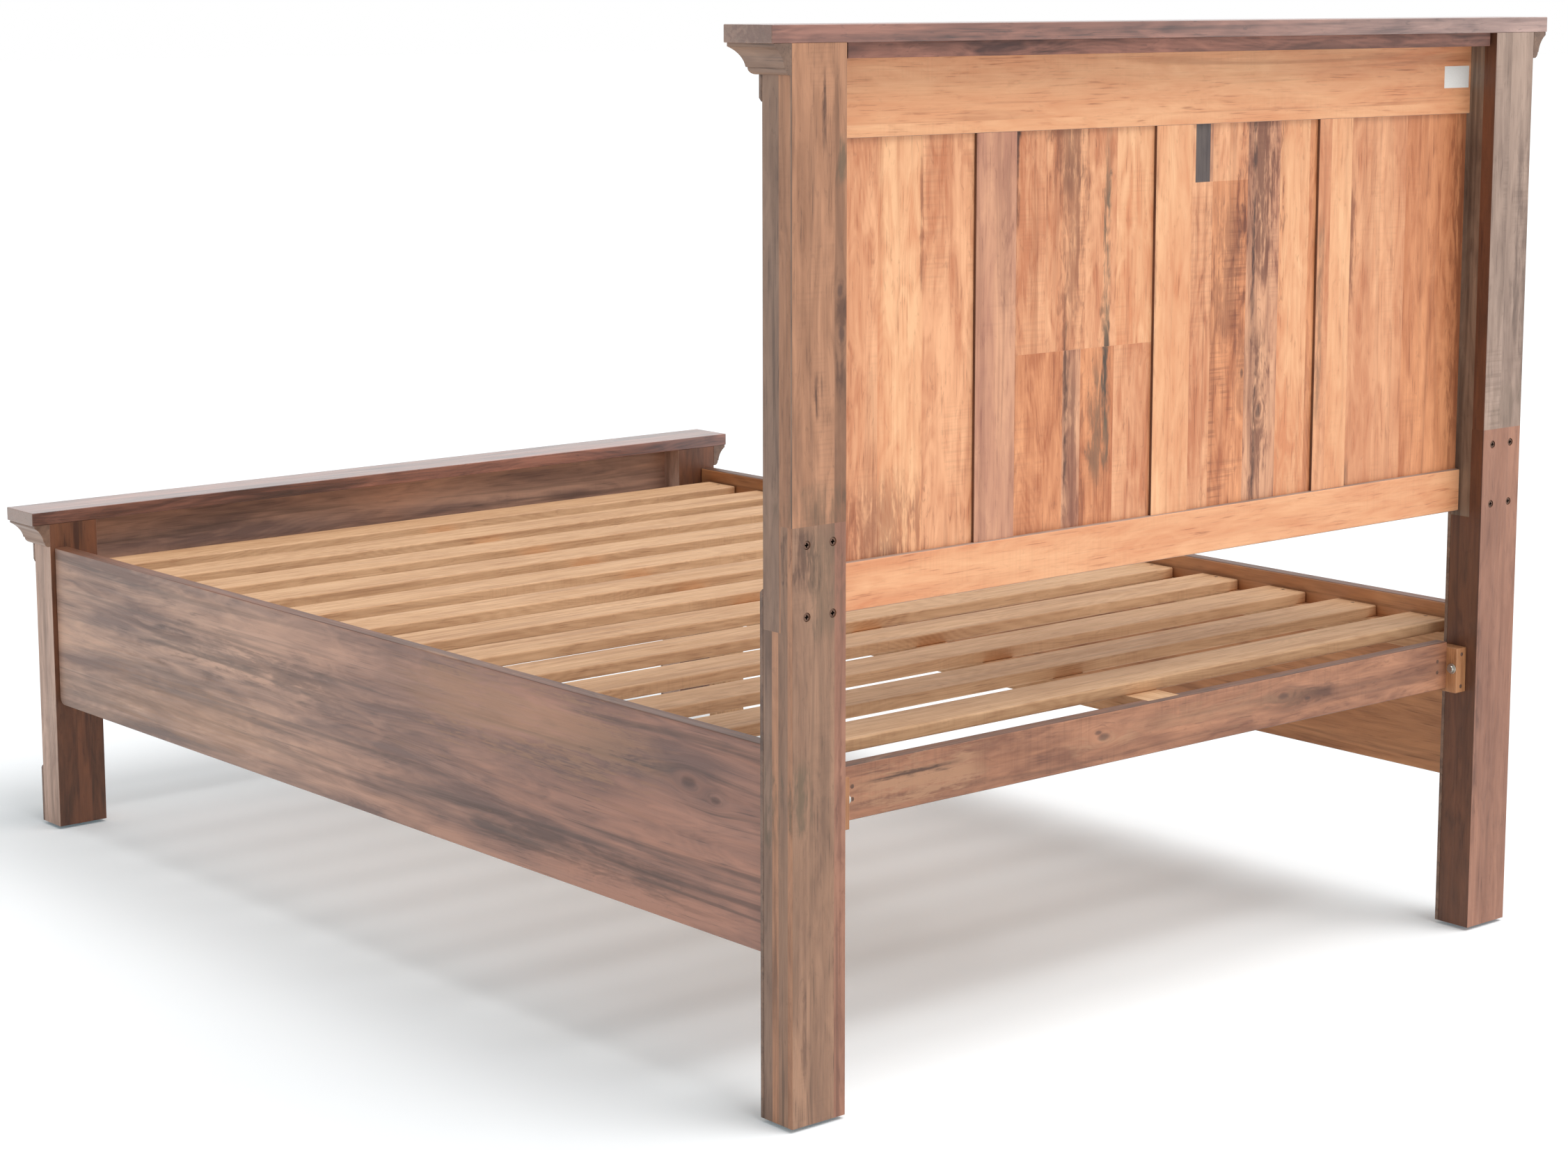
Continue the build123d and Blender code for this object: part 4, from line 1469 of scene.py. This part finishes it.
    def bolts(self, mat: bpy.types.Material) -> None:
        """Makes the hexagon bolts and washers that hold the head cross rail to the legs."""
        low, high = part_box("cross_rail_bolts")
        block_low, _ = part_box("cross_rail_block_left")
        thick, shank = self.washer_thick, self.bolt_shank
        washer = [(shank, 0.0), (self.washer, 0.0), (self.washer, 0.85 * thick)]
        washer += [(0.96 * self.washer, thick), (shank, thick)]
        flat, top = self.bolt_flat, thick + self.bolt_head
        head = [(shank, thick), (hexagon(flat), thick), (hexagon(flat), top - 0.9)]
        head += [(1.01 * flat, top - 0.15), (0.9 * flat, top), (0.55 * flat, top - 0.25)]
        rod = [(0.7 * shank, -self.bolt_long)]
        rod += threaded(shank, self.bolt_pitch, 1 - self.bolt_long, -25.0)
        rod += [(shank, -24.0), (shank, 0.1)]
        solids = [close_flat(turned(rings, 48)) for rings in (washer, head, rod)]
        middle = (low + high) / 2
        places = [
            facing(Vector((side * block_low.x, middle.y, middle.z)), (-side, 0, 0))
            for side in (-1, 1)
        ]
        add_piece("cross_rail_bolt_heads", solids, places, mat, BODY,
                  "cross_rail_bolts")

    def levelling_foot(self, zinc: bpy.types.Material, plastic: bpy.types.Material) -> None:
        """Makes the centre leg's foot: a ribbed pad on a threaded stem with a lock nut."""
        low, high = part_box("levelling_foot")
        pad, top = (high.x - low.x) / 2 / MM, (high.z - low.z) / MM

        def rib(turn: float) -> float:
            """Gives the ribbed edge's radius at an angle."""
            return pad - self.foot_rib_deep * (1 + math.cos(self.foot_ribs * turn)) * 0.5

        stem, nut = self.foot_stem, self.foot_nut
        disc = [(0.82 * pad, 0.0), (0.94 * pad, 0.5), (pad, 1.6), (rib, 2.2), (rib, 5.4)]
        disc += [(0.97 * pad, 6.2), (0.85 * pad, 7.0), (0.5 * pad, 8.2), (0.42 * pad, 9.0)]
        lock = [(stem, 9.0), (hexagon(0.97 * nut), 9.0), (hexagon(nut), 9.6)]
        lock += [(hexagon(nut), 14.4), (hexagon(0.95 * nut), 15.0), (stem + 0.6, 15.0)]
        rod = [(0.8 * stem, 8.5)] + threaded(stem, self.foot_pitch, 9.0, top - 1.2)
        rod += [(0.8 * stem, top)]
        place = [Matrix.Translation(((low.x + high.x) / 2, (low.y + high.y) / 2, low.z))]
        ribbed = close_flat(turned(disc, 6 * self.foot_ribs))
        add_piece("levelling_pad", [ribbed], place, plastic, FOOT_BODY)
        solids = [close_flat(turned(rings, 48)) for rings in (lock, rod)]
        add_piece("levelling_stem", solids, place, zinc, FOOT_BODY,
                  "levelling_foot")

    def build(self) -> None:
        """Makes and dresses the fittings."""
        zinc, bronzed, plastic = ZINC.material(), BRONZED.material(), MOULDED.material()
        self.lap_screws(bronzed)
        self.slat_screws(zinc)
        self.rail_screws(bronzed)
        self.bolts(zinc)
        self.levelling_foot(zinc, plastic)
        dress("rail_hook_plates", zinc)
        dress("post_keeper_plates", zinc)
        dress("leg_glides", plastic)
        dress("rear_label", PAPER.material())


@dataclass
class Studio:
    """A white floor that runs to a white backdrop, soft light from above and behind, a camera.

    Attributes:
        floor_half: Half the floor's width in metres.
        floor_colours: The two colours that the floor's faint mottle runs between.
        floor_fill: The colour of a faint glow painted into the floor, standing in for light that
            white walls
        would give back; it lifts the bed's shadow on the floor, cooler than the warm light that
        the wood gives it.
        floor_fill_strength: How strong that is.
        sun_strength: How strong the main light is.
        sun_angle_deg: How wide it looks from the bed.
        sun_from: The way to it.
        room_light: How strongly the white room lights the bed.
        camera_place: The camera's place in metres.
        camera_heading_deg: How far it is turned from the head end, to the left.
        camera_pitch_deg: How far it looks down.
        lens_mm: Its lens's focal length.
        shift: How far the lens is shifted, across and up, in widths of the picture.
    """

    floor_half: float = 60.0
    floor_colours: tuple[str, str] = ("#F4F4F4", "#F7F7F7")
    floor_fill: tuple[float, float, float, float] = (0.55, 0.8, 0.92, 1)
    floor_fill_strength: float = 0.15
    sun_strength: float = 2.3
    sun_angle_deg: float = 50.0
    sun_from: tuple[float, float, float] = (-0.25, 0.42, 0.87)
    room_light: float = 0.5
    camera_place: tuple[float, float, float] = (3.641, 4.483, 1.616)
    camera_heading_deg: float = 139.54
    camera_pitch_deg: float = 9.06
    lens_mm: float = 73.57
    shift: tuple[float, float] = (-0.01136, -0.0495)

    def build_floor(self) -> None:
        """Makes the floor."""
        mesh = bpy.data.meshes.new("floor")
        h = self.floor_half
        mesh.from_pydata([(-h, -h, 0), (h, -h, 0), (h, h, 0), (-h, h, 0)], [], [(0, 1, 2, 3)])
        floor = bpy.data.objects.new("floor", mesh)
        bpy.context.collection.objects.link(floor)
        mat, tree = new_material("painted_plaster")
        place = add_node(tree, "TexCoord").outputs["Object"]
        mottle = add_node(tree, "TexNoise", {"Vector": place, "Scale": 3.0, "Detail": 2.0})
        first, second = (linear(code) for code in self.floor_colours)
        colour = add_node(tree, "Mix", {0: mottle, 6: first, 7: second}, data_type="RGBA")
        # The floor's emission is a painted glow: a faint cool fill that lifts and cools the
        # shadow on it.
        shader = add_node(
            tree, "BsdfPrincipled",
            {"Base Color": colour, "Roughness": 0.9, "Specular IOR Level": 0.0,
             "Emission Color": self.floor_fill, "Emission Strength": self.floor_fill_strength},
        )
        add_node(tree, "OutputMaterial", {"Surface": shader})
        mesh.materials.append(mat)

    def build_lights(self) -> None:
        """Makes the room's light and one very wide, soft main light."""
        world = bpy.data.worlds.new("studio")
        bpy.context.scene.world = world
        world.use_nodes = True
        tree = world.node_tree
        tree.nodes.clear()
        path = add_node(tree, "LightPath").outputs
        seen = add_node(
            tree, "Math", {0: path["Is Camera Ray"], 1: path["Is Glossy Ray"]},
            operation="MAXIMUM",
        )
        strength = add_node(
            tree, "MapRange", {"Value": seen, "To Min": self.room_light, "To Max": 1.0}
        )
        light = add_node(tree, "Background", {"Color": (1, 1, 1, 1), "Strength": strength})
        add_node(tree, "OutputWorld", {"Surface": light})

        sun = bpy.data.lights.new("main_light", "SUN")
        sun.energy = self.sun_strength
        sun.angle = math.radians(self.sun_angle_deg)
        lamp = bpy.data.objects.new("main_light", sun)
        bpy.context.collection.objects.link(lamp)
        lamp.rotation_mode = "QUATERNION"
        lamp.rotation_quaternion = Vector(self.sun_from).to_track_quat("Z", "Y")

    def build_camera(self) -> None:
        """Makes the camera and sets the picture's tone curve."""
        data = bpy.data.cameras.new("camera")
        data.lens = self.lens_mm
        data.shift_x, data.shift_y = self.shift
        data.clip_end = 200.0
        camera = bpy.data.objects.new("camera", data)
        bpy.context.collection.objects.link(camera)
        camera.location = self.camera_place
        camera.rotation_euler = (
            math.radians(90 - self.camera_pitch_deg), 0, math.radians(self.camera_heading_deg)
        )
        scene = bpy.context.scene
        scene.camera = camera
        scene.view_settings.view_transform = "Standard"

    def build(self) -> None:
        """Makes the floor, the lights and the camera."""
        self.build_floor()
        self.build_lights()
        self.build_camera()


def main() -> None:
    """Builds the studio, the bed frame's looks and its fittings, in order."""
    logging.basicConfig(level=logging.INFO, format="%(name)s: %(message)s")
    deck = Deck()
    for part in (Studio(), Headboard(), Footboard(), deck, Fittings(deck.slats)):
        part.build()
        log.info("built %s", type(part).__name__)


if __name__ == "__main__":
    main()
